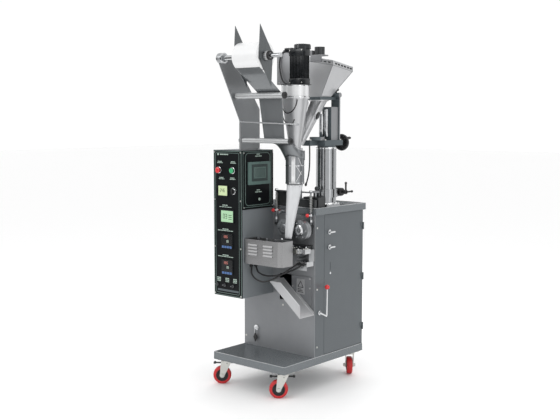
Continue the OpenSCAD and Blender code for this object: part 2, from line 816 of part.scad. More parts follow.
// Lower shaft with two cross seal bars whose faces follow one cylinder.
module cross_seal(s) {
  x = nip_x + s * cross_off;
  place() color("silver") {
    rod_y([x, seal_y - 20, cross_z], seal_w + 18, 14);
    intersection() {
      box([x - 60, seal_y - 18, cross_z - 11], [x + 60, seal_y + seal_w - 6, cross_z + 11]);
      rod_y([x, seal_y - 19, cross_z], seal_w + 20, cross_off - 0.4);
    }
    rod_y([x, seal_y + seal_w - 4, cross_z], cab_y + 74 - seal_y - seal_w, shaft_r);
    rod_y([x, seal_y - 34, cross_z], 16, 17);
    rod_y([x, cab_y + 36, cross_z], 12, pulley_r);
  }
}

module left_cross_seal() { cross_seal(-1); }
module right_cross_seal() { cross_seal(1); }

// Pressure lever that pivots on a bridge rod, with a red knob; dir is its arm's X direction.
module pressure_lever(x, z, dir) {
  place() color("firebrick") {
    difference() {
      union() {
        rod_z([x, bridge_y, z - 6], 12, 9);
        box([min(x + dir * 5, x + dir * 60), bridge_y - 5, z - 4],
          [max(x + dir * 5, x + dir * 60), bridge_y + 5, z + 4]);
        box([x - 4, bridge_y - 22, z - 3], [x + 4, bridge_y - 5, z + 3]);
      }
      rod_z([x, bridge_y, z - 10], 20, lever_pin_r + run_gap);
    }
    translate([x, bridge_y - 26, z]) sphere(r = 9);
  }
}

module left_pressure_lever() { pressure_lever(bridge_x[0], lid_top - 21, 1); }
module right_pressure_lever() { pressure_lever(bridge_x[1], lid_top - 33, -1); }

// Open-topped louvered cover hung from the control box.
module louver_cover() {
  x0 = ctrl_right + fascia_t;
  outline = [[x0, cover_y0], [cover_x1 - cover_cham, cover_y0],
    [cover_x1, cover_y0 + cover_cham * 0.5], [cover_x1, cover_y1], [x0, cover_y1]];
  inner = [[x0 + cover_t, cover_y0 + cover_t], [cover_x1 - cover_cham - 1, cover_y0 + cover_t],
    [cover_x1 - cover_t, cover_y0 + cover_cham * 0.5 + 1], [cover_x1 - cover_t, cover_y1 - cover_t],
    [x0 + cover_t, cover_y1 - cover_t]];
  place() color("silver") {
    difference() {
      translate([0, 0, cover_z0]) linear_extrude(cover_h) polygon(outline);
      translate([0, 0, cover_z0 + cover_t]) linear_extrude(cover_h) polygon(inner);
      for (c = [0, 1], i = [0:3])
        box([x0 + 24 + c * 96, cover_y0 - 1, cover_z0 + 44 + 15 * i],
          [x0 + 82 + c * 96, cover_y0 + cover_t + 1, cover_z0 + 50 + 15 * i]);
    }
    // pressed hoods over the slots
    for (c = [0, 1], i = [0:3]) translate([x0 + 24 + c * 96, cover_y0, cover_z0 + 50 + 15 * i])
      rotate([90, 0, 90]) linear_extrude(58)
        polygon([[0.5, 3], [0.5, -0.5], [-4, -6], [-5, -5], [-0.3, 3]]);
    box([ctrl_right, cover_y0 + 16, cover_z0 + 20], [x0 + 1, cover_y1 - 16, cover_z0 + cover_h - 20]);
  }
}

// Sloping channel that carries the sachets to the right, with its inspection plate.
module discharge_chute() {
  run = base_w - chute_x0;
  low = chute_z1 - chute_slope * run;
  back_z = chute_z1 - chute_slope * inspection_x;
  floor_t = chute_t * sqrt(1 + chute_slope * chute_slope);
  back_y = cab_y - 5.5;
  place() color("gainsboro") {
    xz_plate(chute_y0 + chute_t / 2, back_y - chute_y0 - chute_t / 2)
      polygon([[chute_x0, chute_z1], [base_w, low], [base_w, low + floor_t],
        [chute_x0, chute_z1 + floor_t]]);
    xz_plate(chute_y0, chute_t) polygon([[chute_x0, chute_z1], [base_w, low],
      [base_w, low + chute_wall], [chute_x0 + chute_wall / chute_slope, chute_z1]]);
    xz_plate(back_y - chute_t, chute_t) polygon([[chute_x0 + inspection_x, back_z],
      [base_w, low], [base_w, low + 18], [chute_x0 + inspection_x, back_z + 18]]);
    // inspection plate on the front sheet
    box([nip_x - 58, cab_y - 5, ctrl_z - 34], [nip_x + 66, cab_y - 2.2, recess_z1]);
    for (z = [ctrl_z + 50, recess_z1 - 8], x = [nip_x - 50, nip_x + 58])
      rod_y([x, cab_y - 9, z], 9, 4);
  }
}

// Gear housing for the draw-off drive on the front of the lid, with its filler cap.
module gear_housing() {
  place() color("dimgray") {
    box([nip_x - 158, cab_y + 2, lid_top], [nip_x - 88, cab_y + 20, lid_top + 74]);
    box([nip_x - 84, cab_y + 4, lid_top], [housing_x1, cab_y + 22, lid_top + 38]);
    box([film_x - 26, cab_y + 34, lid_top], [housing_x1, cab_y + 84, lid_top + 48]);
    rod_z([film_x + 22, cab_y + 60, lid_top + 48], 26, 5);
    rod_z([film_x + 22, cab_y + 60, lid_top + 70], 6, 26);
    rod_z([film_x + 36, cab_y + 60, lid_top + 76], 8, 6);
    translate([film_x + 36, cab_y + 60, lid_top + 90]) sphere(r = 10);
  }
}

// Motor, reducer and the drive shaft block inside the cabinet.
module drive_unit() {
  place() color("steelblue") {
    box([60, cab_y + 120, cab_z], [400, cab_y + 300, cab_z + 8]);
    rod_x([90, cab_y + 210, cab_z + 80], 150, 62);
    box([110, cab_y + 160, cab_z + 8], [220, cab_y + 260, cab_z + 30]);
    box([240, cab_y + 150, cab_z + 8], [350, cab_y + 270, cab_z + 150]);
    box([nip_x - 130, cab_y + 76, cab_z + 470], [nip_x + 60, cab_y + 82, cab_top]);
    box([nip_x - 60, cab_y + 82, cab_z + 440], [nip_x + 40, cab_y + 130, cab_z + 540]);
  }
}

// ---------- filler ----------

// Bored sleeve, foot and crank bearing of the lifting column.
module column() {
  clamp_z = lid_top + 44;
  foot = 104;
  place() color("silver") difference() {
    union() {
      rod_z([column_x, column_y, lid_top], column_h, column_d / 2);
      translate([column_x - foot / 2, column_y - foot / 2, lid_top]) linear_extrude(10)
        round_rect(foot, foot, 10);
      rod_z([column_x, column_y, clamp_z], 40, column_d / 2 + 7);
      box([column_x - 16, column_y, clamp_z], [column_x + 30, column_y + 92, clamp_z + 40]);
    }
    rod_x([column_x - 30, crank_y, crank_z], 100, 6 + run_gap);
    rod_z([column_x, column_y, column_top - bore_depth], bore_depth + 1, stem_r + run_gap);
  }
}

// Crank that raises the head: shaft, disc, arm and grip.
module lift_crank() {
  x = column_x + 64;
  place() color("black") {
    rod_x([column_x - 28, crank_y, crank_z], x - column_x + 34, 6);
    rod_x([column_x + 30 + face_gap, crank_y, crank_z], 14, 19);
    rod_z([x, crank_y, crank_z - 8], 58, 6);
    rod_y([x, crank_y - 8, crank_z], 64, 5);
  }
}

// Stem, square post, arms and back plate that lift together.
module lift_post() {
  p = post_w / 2;
  place() color("darkslategray") {
    difference() {
      union() {
        rod_z([column_x, column_y, column_top - stem_l], stem_l + 9, stem_r);
        rod_z([column_x, column_y, column_top + 1], 8, 44);
        box([column_x - p, column_y + 2, column_top + 8],
          [column_x + p, column_y + 2 + post_w, bowl_z - 40]);
        // lower arm towards the auger's neck and the hand wheel
        box([film_x - 24, fill_y + 85, arm_z], [film_x + 24, wheel_y - 20, arm_z + arm_t]);
        box([column_x - 40, column_y - 62, arm_z], [column_x + 40, column_y + 80, arm_z + arm_t]);
        // back plate
        box([column_x - 16, plate_y, arm_z], [column_x + 34, plate_y + 8, bowl_z + 30]);
        // upper plate between the feed pipe and the hopper
        difference() {
          box([film_x - 44, hopper_y - 50, bowl_z - 6], [film_x + 44, plate_y + 1, hopper_z]);
          rod_z([film_x, feed_y, bowl_z - 7], 20, feed_d / 2 - 3);
        }
        rod_x([column_x - 16, plate_y - 6, bowl_z + 18], 60, 12);
      }
      rod_y([column_x + 10, column_y + 40, arm_z + arm_t / 2], 100, 6 + run_gap);
    }
    rod_z([column_x - 10, column_y - 60, arm_z + arm_t], 16, 37);
  }
}

// Clamp wheel on the end of the lower arm, with a crank grip.
module hand_wheel() {
  place() color("black") {
    rod_y([column_x + 10, column_y + 50, arm_z + arm_t / 2], wheel_y - column_y - 44, 6);
    difference() {
      rod_y([column_x + 10, wheel_y, arm_z + arm_t / 2], 12, 42);
      rod_y([column_x + 10, wheel_y + 4, arm_z + arm_t / 2], 12, 34);
    }
    rod_y([column_x + 10, wheel_y, arm_z + arm_t / 2], 14, 12);
    rod_y([column_x + 36, wheel_y + 8, arm_z + arm_t / 2 + 22], 34, 6);
  }
}

// Filler bowl, drum, auger tube and the slanted feed pipe welded to it.
module auger_housing() {
  br = bowl_d / 2;
  nr = auger_tube_d / 2;
  wall = 2;
  place() color("silver") difference() {
    union() {
      rod_z([film_x, fill_y, bowl_z], drum_h, br);
      translate([film_x, fill_y, neck_z]) cylinder(r1 = nr + 5, r2 = br, h = bowl_z - neck_z);
      rod_z([film_x, fill_y, former_top - former_h - 30], neck_z - former_top + former_h + 31, nr);
      rod_z([film_x, fill_y, bowl_z - 4], 8, br + 5);
      rod_z([film_x, fill_y, neck_z - 4], 10, nr + 16);
      hull() {
        rod_z([film_x, fill_y + 30, neck_z + 20], 2, nr, $fn = 32);
        rod_z([film_x, feed_y, bowl_z - 14], 2, feed_d / 2, $fn = 32);
      }
      rod_z([film_x, feed_y, bowl_z - 12], 6, feed_d / 2 + 8);
    }
    rod_z([film_x, fill_y, bowl_z - 1], drum_h - 6, br - wall);
    translate([film_x, fill_y, neck_z]) cylinder(r1 = nr + 3, r2 = br - wall, h = bowl_z - neck_z);
    rod_z([film_x, fill_y, former_top - former_h - 40], 400, nr - wall);
    rod_z([film_x, fill_y, bowl_z + drum_h - 8], 10, 12);
    hull() {
      rod_z([film_x, fill_y + 30, neck_z + 26], 2, nr - wall, $fn = 32);
      rod_z([film_x, feed_y, bowl_z - 11], 6, feed_d / 2 - wall, $fn = 32);
    }
  }
}

// Slanted pyramid hopper: four corners at different heights over a square outlet.
module hopper() {
  place() color("silver") difference() {
    hopper_solid(0, 0);
    hopper_solid(2, 4);
  }
}

module hopper_solid(inset, over) {
  a = hopper_low_w / 2 - inset;
  b = hopper_w / 2 - inset;
  cx = film_x + hopper_shift[0];
  cy = hopper_y + hopper_shift[1];
  corners = [[-1, -1], [1, -1], [1, 1], [-1, 1]];
  low = [for (c = corners) [film_x + c[0] * a, hopper_y + c[1] * a, hopper_z - over]];
  mid = [for (i = [0:3]) [cx + corners[i][0] * b, cy + corners[i][1] * b,
    hopper_top[i] - 22]];
  top = [for (i = [0:3]) [cx + corners[i][0] * b, cy + corners[i][1] * b,
    hopper_top[i] + over]];
  polyhedron(points = concat(low, mid, top), faces = concat([[0, 1, 2], [0, 2, 3],
    [8, 10, 9], [8, 11, 10]], [for (k = [0, 4], i = [0:3]) each [
      [k + i, k + i + 4, k + (i + 1) % 4 + 4], [k + i, k + (i + 1) % 4 + 4, k + (i + 1) % 4]]]));
}

// Servo motor on the drum with its round encoder cap and the belt cover beside it.
module auger_motor() {
  place() color("black") {
    box([motor_x - 44, motor_y - 27, motor_z], [motor_x + 43, motor_y + 27, motor_z + 166]);
    rod_z([motor_x + 8, motor_y + 12, motor_z + 166], 22, 40);
    box([film_x - 50, fill_y - 45, motor_z - 4], [motor_x + 46, motor_y + 32, motor_z]);
    box([film_x - 108, fill_y + 2, motor_z], [motor_x - 45, fill_y + 30, motor_z + 126]);
  }
}

// Small geared motor on an angle bracket over the hopper's front wall.
module stirrer_motor() {
  wall_y = hopper_y + hopper_shift[1] - hopper_w / 2;
  place() color("gray") difference() {
    union() {
      rod_z([film_x, hopper_y, stirrer_top], 38, 25);
      box([film_x - 34, wall_y - 4, stirrer_top - 6], [film_x + 34, hopper_y + 25, stirrer_top]);
      box([film_x - 34, wall_y - 4, stirrer_top - 32], [film_x + 34, wall_y, stirrer_top]);
      box([film_x - 60, wall_y + 4, stirrer_top - 2], [film_x - 30, hopper_y + 14,
        stirrer_top + 22]);
    }
    rod_z([film_x, hopper_y, stirrer_top - 10], 30, 6 + run_gap);
  }
}

// Screw with a round shaft; the flight is a row of tilted discs.
module auger() {
  nr = auger_tube_d / 2;
  low = former_top - former_h - 24;
  pitch = 30;
  place() color("silver") {
    rod_z([film_x, fill_y, low], bowl_z + drum_h - 4 - low, 8);
    for (i = [0:9]) translate([film_x, fill_y, low + 16 + pitch * i]) rotate([0, 12, 36 * i])
      cylinder(r = nr - 4.5, h = 3);
  }
}

// Stirrer shaft with two paddles inside the hopper.
module stirrer() {
  place() color("silver") {
    rod_z([film_x, hopper_y, hopper_z + 2], stirrer_top + 14 - hopper_z, 6);
    for (z = [hopper_z + 16, hopper_z + 46], s = [-1, 1])
      bar([film_x, hopper_y, z], [film_x + s * 26, hopper_y, z + 10], 3.5);
  }
}

// ---------- cables and fasteners ----------

// Points of a smooth curve through a list, by Catmull-Rom.
function curve(p, n) = [for (i = [0:len(p) - 2], j = [0:n - 1])
  let (t = j / n, a = p[max(i - 1, 0)], b = p[i], c = p[i + 1], d = p[min(i + 2, len(p) - 1)])
  0.5 * (2 * b + (c - a) * t + (2 * a - 5 * b + 4 * c - d) * t * t
    + (3 * b - a - 3 * c + d) * t * t * t)];

// Round hose along a list of points, n sides.
module hose(p, r, n = 8) {
  m = len(p);
  rings = [for (i = [0:m - 1])
    let (d = p[min(i + 1, m - 1)] - p[max(i - 1, 0)], w = d / norm(d),
      g = abs(w[2]) > 0.9 ? [1, 0, 0] : [0, 0, 1], u = cross(w, g) / norm(cross(w, g)),
      v = cross(w, u))
    each [for (k = [0:n - 1]) p[i] + r * (cos(360 * k / n) * u + sin(360 * k / n) * v)]];
  polyhedron(points = rings, faces = concat([[for (k = [0:n - 1]) k]],
    [[for (k = [n - 1:-1:0]) (m - 1) * n + k]],
    [for (i = [0:m - 2], k = [0:n - 1]) [i * n + k, (i + 1) * n + k,
      (i + 1) * n + (k + 1) % n, i * n + (k + 1) % n]]));
}

// Heater leads held between the control box and the seal heads.
module heater_cables() {
  place() color("black") {
    hose(curve(loop_a, 3), 4);
    hose(curve(loop_b, 3), 4);
  }
}

// Screws of the fascias, cable gland at the rear and feet bolts.
module fasteners() {
  place() color("silver") {
    for (x = [ctrl_x + 7, ctrl_right - 7], k = [0:3])
      rod_y([x, -2.5, ctrl_z + 10 + k * (ctrl_h - 20) / 3], 2.5, 4);
    for (y = [10, cab_y - 12], z = [hmi_z + 10, hmi_z + hmi_h - 12])
      if (y < 100 || z < hmi_z + 100) rod_x([ctrl_right + fascia_t, y, z], 2.5, 4);
    difference() {
      union() {
        rod_y([gland_x, base_d - sheet - 6, gland_z], sheet + 8, gland_r);
        rod_y([gland_x, base_d, gland_z], 8, gland_r + 5);
      }
      rod_y([gland_x, base_d - 20, gland_z], 40, gland_bore_r);
    }
  }
}

plinth();
caster_mounts();
cabinet_panels();
front_panel();
lid();
control_box();
control_fascias();
panel_instruments();
film_frame();
film_web();
forming_collar();
film_tube();
seal_housing();
louver_cover();
discharge_chute();
gear_housing();
column();
drive_unit();
heater_cables();
fasteners();
lift_post();
auger_housing();
hopper();
auger_motor();
stirrer_motor();
auger();
stirrer();
hand_wheel();
lift_crank();
film_roll();
reel_flanges();
upper_roller();
lower_roller();
left_seal_roller();
right_seal_roller();
left_cross_seal();
right_cross_seal();
left_pressure_lever();
right_pressure_lever();
side_door();
upper_latch();
lower_latch();
clutch_lever();
panel_lock();
caster_fork_front_left();
caster_fork_front_right();
caster_fork_rear_left();
caster_fork_rear_right();
caster_wheel_front_left();
caster_wheel_front_right();
caster_wheel_rear_left();
caster_wheel_rear_right();
brake_pedal_front_left();
brake_pedal_front_right();
stop_button();
start_button();
selector_knob();
left_toggle();
middle_toggle();
right_toggle();
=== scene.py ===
"""Looks of the vertical form fill sealer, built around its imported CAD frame.
Positions inside the helpers are millimetres from the plinth's front left corner,
as in the part's source; Part.done() turns them into metres in the row frame."""
import bpy
import bmesh
import math
from mathutils import Matrix, Vector


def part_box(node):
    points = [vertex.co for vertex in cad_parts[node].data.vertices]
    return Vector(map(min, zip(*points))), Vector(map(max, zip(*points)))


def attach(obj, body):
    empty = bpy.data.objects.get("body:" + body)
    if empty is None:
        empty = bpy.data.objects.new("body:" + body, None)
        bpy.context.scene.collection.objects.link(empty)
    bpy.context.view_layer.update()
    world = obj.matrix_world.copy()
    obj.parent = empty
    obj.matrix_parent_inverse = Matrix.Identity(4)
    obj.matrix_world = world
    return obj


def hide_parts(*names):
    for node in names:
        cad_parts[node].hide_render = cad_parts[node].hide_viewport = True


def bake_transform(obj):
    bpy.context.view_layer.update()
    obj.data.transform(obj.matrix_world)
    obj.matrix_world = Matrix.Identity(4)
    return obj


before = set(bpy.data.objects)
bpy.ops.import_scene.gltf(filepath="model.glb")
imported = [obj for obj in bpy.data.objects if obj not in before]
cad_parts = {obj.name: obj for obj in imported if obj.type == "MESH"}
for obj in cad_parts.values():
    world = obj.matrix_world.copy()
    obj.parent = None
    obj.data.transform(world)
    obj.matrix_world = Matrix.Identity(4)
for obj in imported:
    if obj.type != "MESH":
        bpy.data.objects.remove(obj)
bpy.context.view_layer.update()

# where the plinth's front left corner stands in the row frame
corner_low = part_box("plinth")[0]
SHIFT = Vector((corner_low.x, corner_low.y, 0))
MM = 0.001

# cabinet and control box
CAB_Y, CAB_Z, SIDE_X, LID_TOP = 226, 166, 462, 897
CTRL_Z, CTRL_TOP, CTRL_RIGHT = 457, 1172, 196
# controls on the front fascia, as x and z
STOP, START, SELECTOR = (47, 1075), (138, 1075), (142, 974)
# film path: middle of the film, its width, centres (y, z) of the reel and the two rollers
FILM_X, FILM_W = 388, 146
REEL, UPPER, LOWER = (-127, 1600), (-26, 1429), (16, 1221)
REEL_OFF, UPPER_OFF, LOWER_OFF = 63.6, 15.3, 12.8  # how far the film lies from each centre
LIP_Y, LIP_Z, WEB_TAPER = 50, 1209, 22
SHOULDER_R, CROSS = 45.6, 28  # radius round the tube, and mesh steps across the film
SLEEVE_TOP, SLEEVE_H = 1013, 256
# filler: middle (x, y) of its tube, bottom of its motor, middles of the hopper's rim and foot
FORMER = (FILM_X, 165)
MOTOR_Z, HOPPER, HOPPER_FOOT = 1484, (FILM_X + 20, 405), (FILM_X, 351)
COLUMN = (417, 370)
# sealing station: the nip between the rollers, their front, height and radius, the cross seals
NIP_X, SEAL_Y, SEAL_Z, SEAL_R = 380, 152, 795, 48.25
CROSS_Z, CROSS_OFF, LEVER_Y = 697.2, 48.8, 214
# casters: wheel radius, and how far the wheel trails behind the swivel
WHEEL_R, TRAIL = 45, 25
CASTERS = [("front_left", 44, 50, 220.8), ("front_right", 418, 50, 220.8),
           ("rear_left", 44, 574, 130.8), ("rear_right", 418, 574, 130.8)]


def at(x, y, z):
    return SHIFT + Vector((x, y, z)) * MM


# ---------- camera, light and floor ----------

camera = bpy.data.objects.new("camera", bpy.data.cameras.new("camera"))
bpy.context.collection.objects.link(camera)
camera.data.sensor_width = 36
camera.data.lens = 58.3
camera.data.clip_end = 50
camera.location = at(3152.9, -3146.9, 1327.0)
camera.rotation_euler = (math.radians(84.2), 0, math.radians(40.8))
bpy.context.scene.camera = camera


def area_light(name, place, aim, size, power, tall=None):
    light = bpy.data.lights.new(name, "AREA")
    light.size = size
    if tall:
        light.shape = "RECTANGLE"
        light.size_y = tall
    light.energy = power
    obj = bpy.data.objects.new(name, light)
    obj.location = place
    obj.rotation_euler = (Vector(aim) - Vector(place)).to_track_quat("-Z", "Y").to_euler()
    bpy.context.collection.objects.link(obj)


# dark planes that only reflections see, so that the metal gets its darker bands
FLAGS = [("flag_left", (-2.4, -2.3, 0.0), (1.3, 2.2)), ("flag_right", (2.9, 1.6, 0.0), (1.0, 2.2)),
         ("flag_front", (1.5, -3.6, 0.0), (0.9, 1.6)), ("flag_back", (-2.2, 2.4, 0.0), (1.6, 2.4))]
flag_list = []
area_light("key", (-1.6, -3.4, 3.2), (0, 0, 0.9), 1.8, 30)
area_light("fill", (3.6, -0.6, 1.8), (0, 0, 0.9), 1.0, 8, 2.6)
area_light("top", (0.3, 0.6, 4.0), (0, 0, 0.8), 2.6, 22)
area_light("back", (-1.8, 3.0, 2.2), (0, 0, 1.0), 1.6, 14)
for name, place, size in FLAGS:
    mesh = bpy.data.meshes.new(name)
    w, h = size[0] / 2, size[1]
    mesh.from_pydata([(-w, 0, 0), (w, 0, 0), (w, 0, h), (-w, 0, h)], [], [(0, 1, 2, 3)])
    flag = bpy.data.objects.new(name, mesh)
    flag.location = place
    flag.rotation_euler = (0, 0, math.atan2(place[1], place[0]) + math.pi / 2)
    flag.visible_camera = flag.visible_shadow = flag.visible_diffuse = False
    flag_list.append(flag)
    bpy.context.collection.objects.link(flag)
world = bpy.data.worlds.new("studio")
bpy.context.scene.world = world
world.use_nodes = True
world.node_tree.nodes["Background"].inputs["Color"].default_value = (1, 1, 1, 1)
world.node_tree.nodes["Background"].inputs["Strength"].default_value = 1.02
bpy.context.scene.view_settings.view_transform = "Standard"


# ---------- materials ----------

class Shader:
    """One procedural material: colour, roughness and bump all come from object-space noise."""

    def __init__(self, name, color, rough=0.4, metal=0.0, vary=0.08, grain=(300, 300, 300),
                 bump=0.05, depth=0.0002, rough_vary=0.08, spots=18.0, **fixed):
        self.mat = bpy.data.materials.new(name)
        self.mat.use_nodes = True
        self.tree = self.mat.node_tree
        self.bsdf = self.tree.nodes["Principled BSDF"]
        self.bsdf.inputs["Metallic"].default_value = metal
        for key, value in fixed.items():
            self.bsdf.inputs[key.replace("_", " ")].default_value = value
        coord = self.node("ShaderNodeTexCoord")
        self.place = coord.outputs["Object"]
        cloud = self.noise(self.place, spots, 4)
        mix = self.node("ShaderNodeMix", data_type="RGBA")
        self.link(cloud, mix.inputs["Factor"])
        mix.inputs[6].default_value = [c * (1 - vary) for c in color] + [1]
        mix.inputs[7].default_value = [min(1, c * (1 + vary)) for c in color] + [1]
        self.color = mix.outputs[2]
        self.link(self.color, self.bsdf.inputs["Base Color"])
        stretch = self.node("ShaderNodeMapping")
        stretch.inputs["Scale"].default_value = grain
        self.link(self.place, stretch.inputs["Vector"])
        fine = self.noise(stretch.outputs[0], 1.0, 3)
        spread = self.node("ShaderNodeMapRange")
        spread.inputs["To Min"].default_value = max(0.03, rough - rough_vary)
        spread.inputs["To Max"].default_value = min(1, rough + rough_vary)
        self.link(fine, spread.inputs["Value"])
        self.link(spread.outputs[0], self.bsdf.inputs["Roughness"])
        relief = self.node("ShaderNodeBump")
        relief.inputs["Strength"].default_value = bump
        relief.inputs["Distance"].default_value = depth
        self.link(fine, relief.inputs["Height"])
        self.link(relief.outputs[0], self.bsdf.inputs["Normal"])

    def node(self, kind, **settings):
        made = self.tree.nodes.new(kind)
        for key, value in settings.items():
            setattr(made, key, value)
        return made

    def link(self, a, b):
        self.tree.links.new(a, b)

    def noise(self, vector, scale, detail):
        made = self.node("ShaderNodeTexNoise")
        made.inputs["Scale"].default_value = scale
        made.inputs["Detail"].default_value = detail
        self.link(vector, made.inputs["Vector"])
        return made.outputs["Fac"]

    def rings(self, axis, scale, dark):
        """Fine bands across one axis, mixed over the colour."""
        wave = self.node("ShaderNodeTexWave", wave_type="BANDS", bands_direction=axis)
        wave.inputs["Scale"].default_value = scale
        wave.inputs["Distortion"].default_value = 1.5
        self.link(self.place, wave.inputs["Vector"])
        mix = self.node("ShaderNodeMix", data_type="RGBA", blend_type="MULTIPLY")
        self.link(wave.outputs["Fac"], mix.inputs["Factor"])
        self.link(self.color, mix.inputs[6])
        mix.inputs[7].default_value = (dark, dark, dark, 1)
        self.link(mix.outputs[2], self.bsdf.inputs["Base Color"])
        return self


POWDER = dict(grain=(1600, 1600, 1600), bump=0.16, depth=0.0002, vary=0.05, rough_vary=0.06)
BRUSH_Z = dict(grain=(1500, 1500, 18), bump=0.10, depth=0.0001, vary=0.07, rough_vary=0.10)
BRUSH_X = dict(grain=(18, 1500, 1500), bump=0.10, depth=0.0001, vary=0.07, rough_vary=0.10)
MAT = {
    "cabinet": Shader("cabinet_grey", (0.102, 0.115, 0.124), 0.40, 0.15, **POWDER),
    "front": Shader("front_sheet", (0.235, 0.243, 0.255), 0.42, 0.30, **BRUSH_Z),
    "plinth": Shader("plinth_grey", (0.150, 0.166, 0.176), 0.26, 0.25, **POWDER),
    # the control box is the cabinet's grey, painted lighter as painted light to make up for the shade
    # the cabinet throws on its side
    "box": Shader("control_box_grey_painted_light", (0.185, 0.202, 0.214), 0.50, 0.0, **POWDER),
    "fascia": Shader("fascia_black", (0.004, 0.005, 0.006), 0.40, 0.0, Specular_IOR_Level=0.14,
                     **POWDER),
    "line": Shader("panel_line", (0.115, 0.165, 0.150), 0.35),
    "label": Shader("label_print", (0.38, 0.48, 0.42), 0.5),
    "bezel": Shader("bezel_black", (0.012, 0.013, 0.014), 0.24),
    "screen": Shader("screen_green", (0.36, 0.56, 0.36), 0.2, Emission_Strength=0.12,
                     Emission_Color=(0.45, 0.75, 0.45, 1)),
    "screen_pale": Shader("screen_pale", (0.52, 0.62, 0.36), 0.2, Emission_Strength=0.12,
                          Emission_Color=(0.65, 0.80, 0.50, 1)),
    "screen_grey": Shader("screen_grey", (0.085, 0.125, 0.115), 0.22),
    "hmi": Shader("operator_screen_bezel", (0.10, 0.165, 0.15), 0.35),
    "digit_red": Shader("digits_red", (0.42, 0.17, 0.15), 0.4, Emission_Strength=0.12,
                        Emission_Color=(1, 0.2, 0.12, 1)),
    "digit_white": Shader("digits_white", (0.42, 0.52, 0.44), 0.4, Emission_Strength=0.08,
                          Emission_Color=(0.9, 1, 0.9, 1)),
    "key_blue": Shader("keys_blue", (0.06, 0.14, 0.34), 0.35),
    "steel": Shader("stainless", (0.34, 0.35, 0.36), 0.34, 0.8, **BRUSH_Z),
    "steel_x": Shader("stainless_across", (0.36, 0.36, 0.365), 0.30, 1.0, spots=7, **BRUSH_X),
    "steel_dull": Shader("stainless_dull", (0.24, 0.25, 0.26), 0.36, 1.0, **BRUSH_Z),
    "bright": Shader("bright_sheet", (0.66, 0.67, 0.68), 0.30, 0.9, **BRUSH_X),
    "polished": Shader("polished_steel", (0.52, 0.53, 0.54), 0.10, 1.0, grain=(20, 20, 900),
                       bump=0.04, vary=0.04, rough_vary=0.05),
    "chrome": Shader("chrome", (0.70, 0.71, 0.72), 0.08, 1.0, vary=0.03, rough_vary=0.03),
    "zinc": Shader("zinc_plate", (0.60, 0.60, 0.57), 0.34, 0.9, spots=60, vary=0.14),
    "dark": Shader("dark_machined", (0.045, 0.048, 0.05), 0.34, 0.5, **POWDER),
    "iron": Shader("drive_grey", (0.09, 0.11, 0.12), 0.5, 0.3, **POWDER),
    "motor": Shader("motor_black", (0.010, 0.012, 0.014), 0.20, 0.2, **POWDER),
    "plate": Shader("cover_grey", (0.27, 0.275, 0.285), 0.42, 0.5, **BRUSH_Z),
    "black": Shader("black_plastic", (0.012, 0.012, 0.013), 0.42, grain=(900, 900, 900)),
    "rubber": Shader("cable_rubber", (0.010, 0.010, 0.011), 0.5, grain=(700, 700, 700)),
    "tyre": Shader("tyre_red", (0.50, 0.016, 0.018), 0.42, grain=(500, 500, 500), vary=0.12),
    "red": Shader("red_knob", (0.60, 0.015, 0.018), 0.22, Coat_Weight=0.4),
    "green": Shader("green_button", (0.03, 0.36, 0.14), 0.25, Coat_Weight=0.4),
    "white": Shader("roller_grey", (0.46, 0.47, 0.475), 0.25, 0.5, **BRUSH_X),
    "card": Shader("reel_core_card", (0.38, 0.27, 0.16), 0.8, vary=0.15),
    "film": Shader("film_sleeve_white", (0.60, 0.61, 0.625), 0.20, vary=0.08, spots=30,
                   grain=(90, 90, 12), bump=0.25, depth=0.0008, Coat_Weight=0.5),
    "roll": Shader("film_wound", (0.80, 0.805, 0.81), 0.30, vary=0.02, Coat_Weight=0.3),
    # the film web is the same white film as the roll and the sleeve, coloured dark grey as painted
    # shade because it runs in shadow
    "web": Shader("film_web_painted_shade_grey", (0.17, 0.18, 0.188), 0.22, 0.45, vary=0.10, spots=9,
                  grain=(60, 8, 8), bump=0.3, depth=0.001, Coat_Weight=0.4),
    # light stainless of the drum; the same colour serves as painted highlight on the forming tube's
    # band and wires
    "drum": Shader("drum_white_and_painted_highlight", (0.74, 0.745, 0.75), 0.30, 0.35, **BRUSH_Z),
    "cone": Shader("cone_steel", (0.52, 0.525, 0.535), 0.36, 0.75, **BRUSH_Z),
    "hopper": Shader("hopper_steel", (0.50, 0.505, 0.515), 0.42, 0.55, **BRUSH_Z),
    "column": Shader("column_steel", (0.34, 0.35, 0.36), 0.14, 1.0, **BRUSH_Z),
    "flange": Shader("reel_flange_grey", (0.15, 0.16, 0.165), 0.30, 0.8, **BRUSH_Z),
    "shade": Shader("dark_outline", (0.030, 0.048, 0.045), 0.4),
    "flag": Shader("studio_flag", (0.03, 0.03, 0.03), 0.8),
    "floor": Shader("floor_pale", (0.96, 0.96, 0.96), 0.6, vary=0.01),
}
MAT["roll"].rings("X", 260, 0.90)
for flag in flag_list:
    flag.data.materials.append(MAT["flag"].mat)

floor_mesh = bpy.data.meshes.new("floor")
floor_mesh.from_pydata([(-30, -30, 0), (30, -30, 0), (30, 30, 0), (-30, 30, 0)], [], [(0, 1, 2, 3)])
floor = bpy.data.objects.new("floor", floor_mesh)
floor.data.materials.append(MAT["floor"].mat)
bpy.context.collection.objects.link(floor)


# ---------- mesh helper ----------

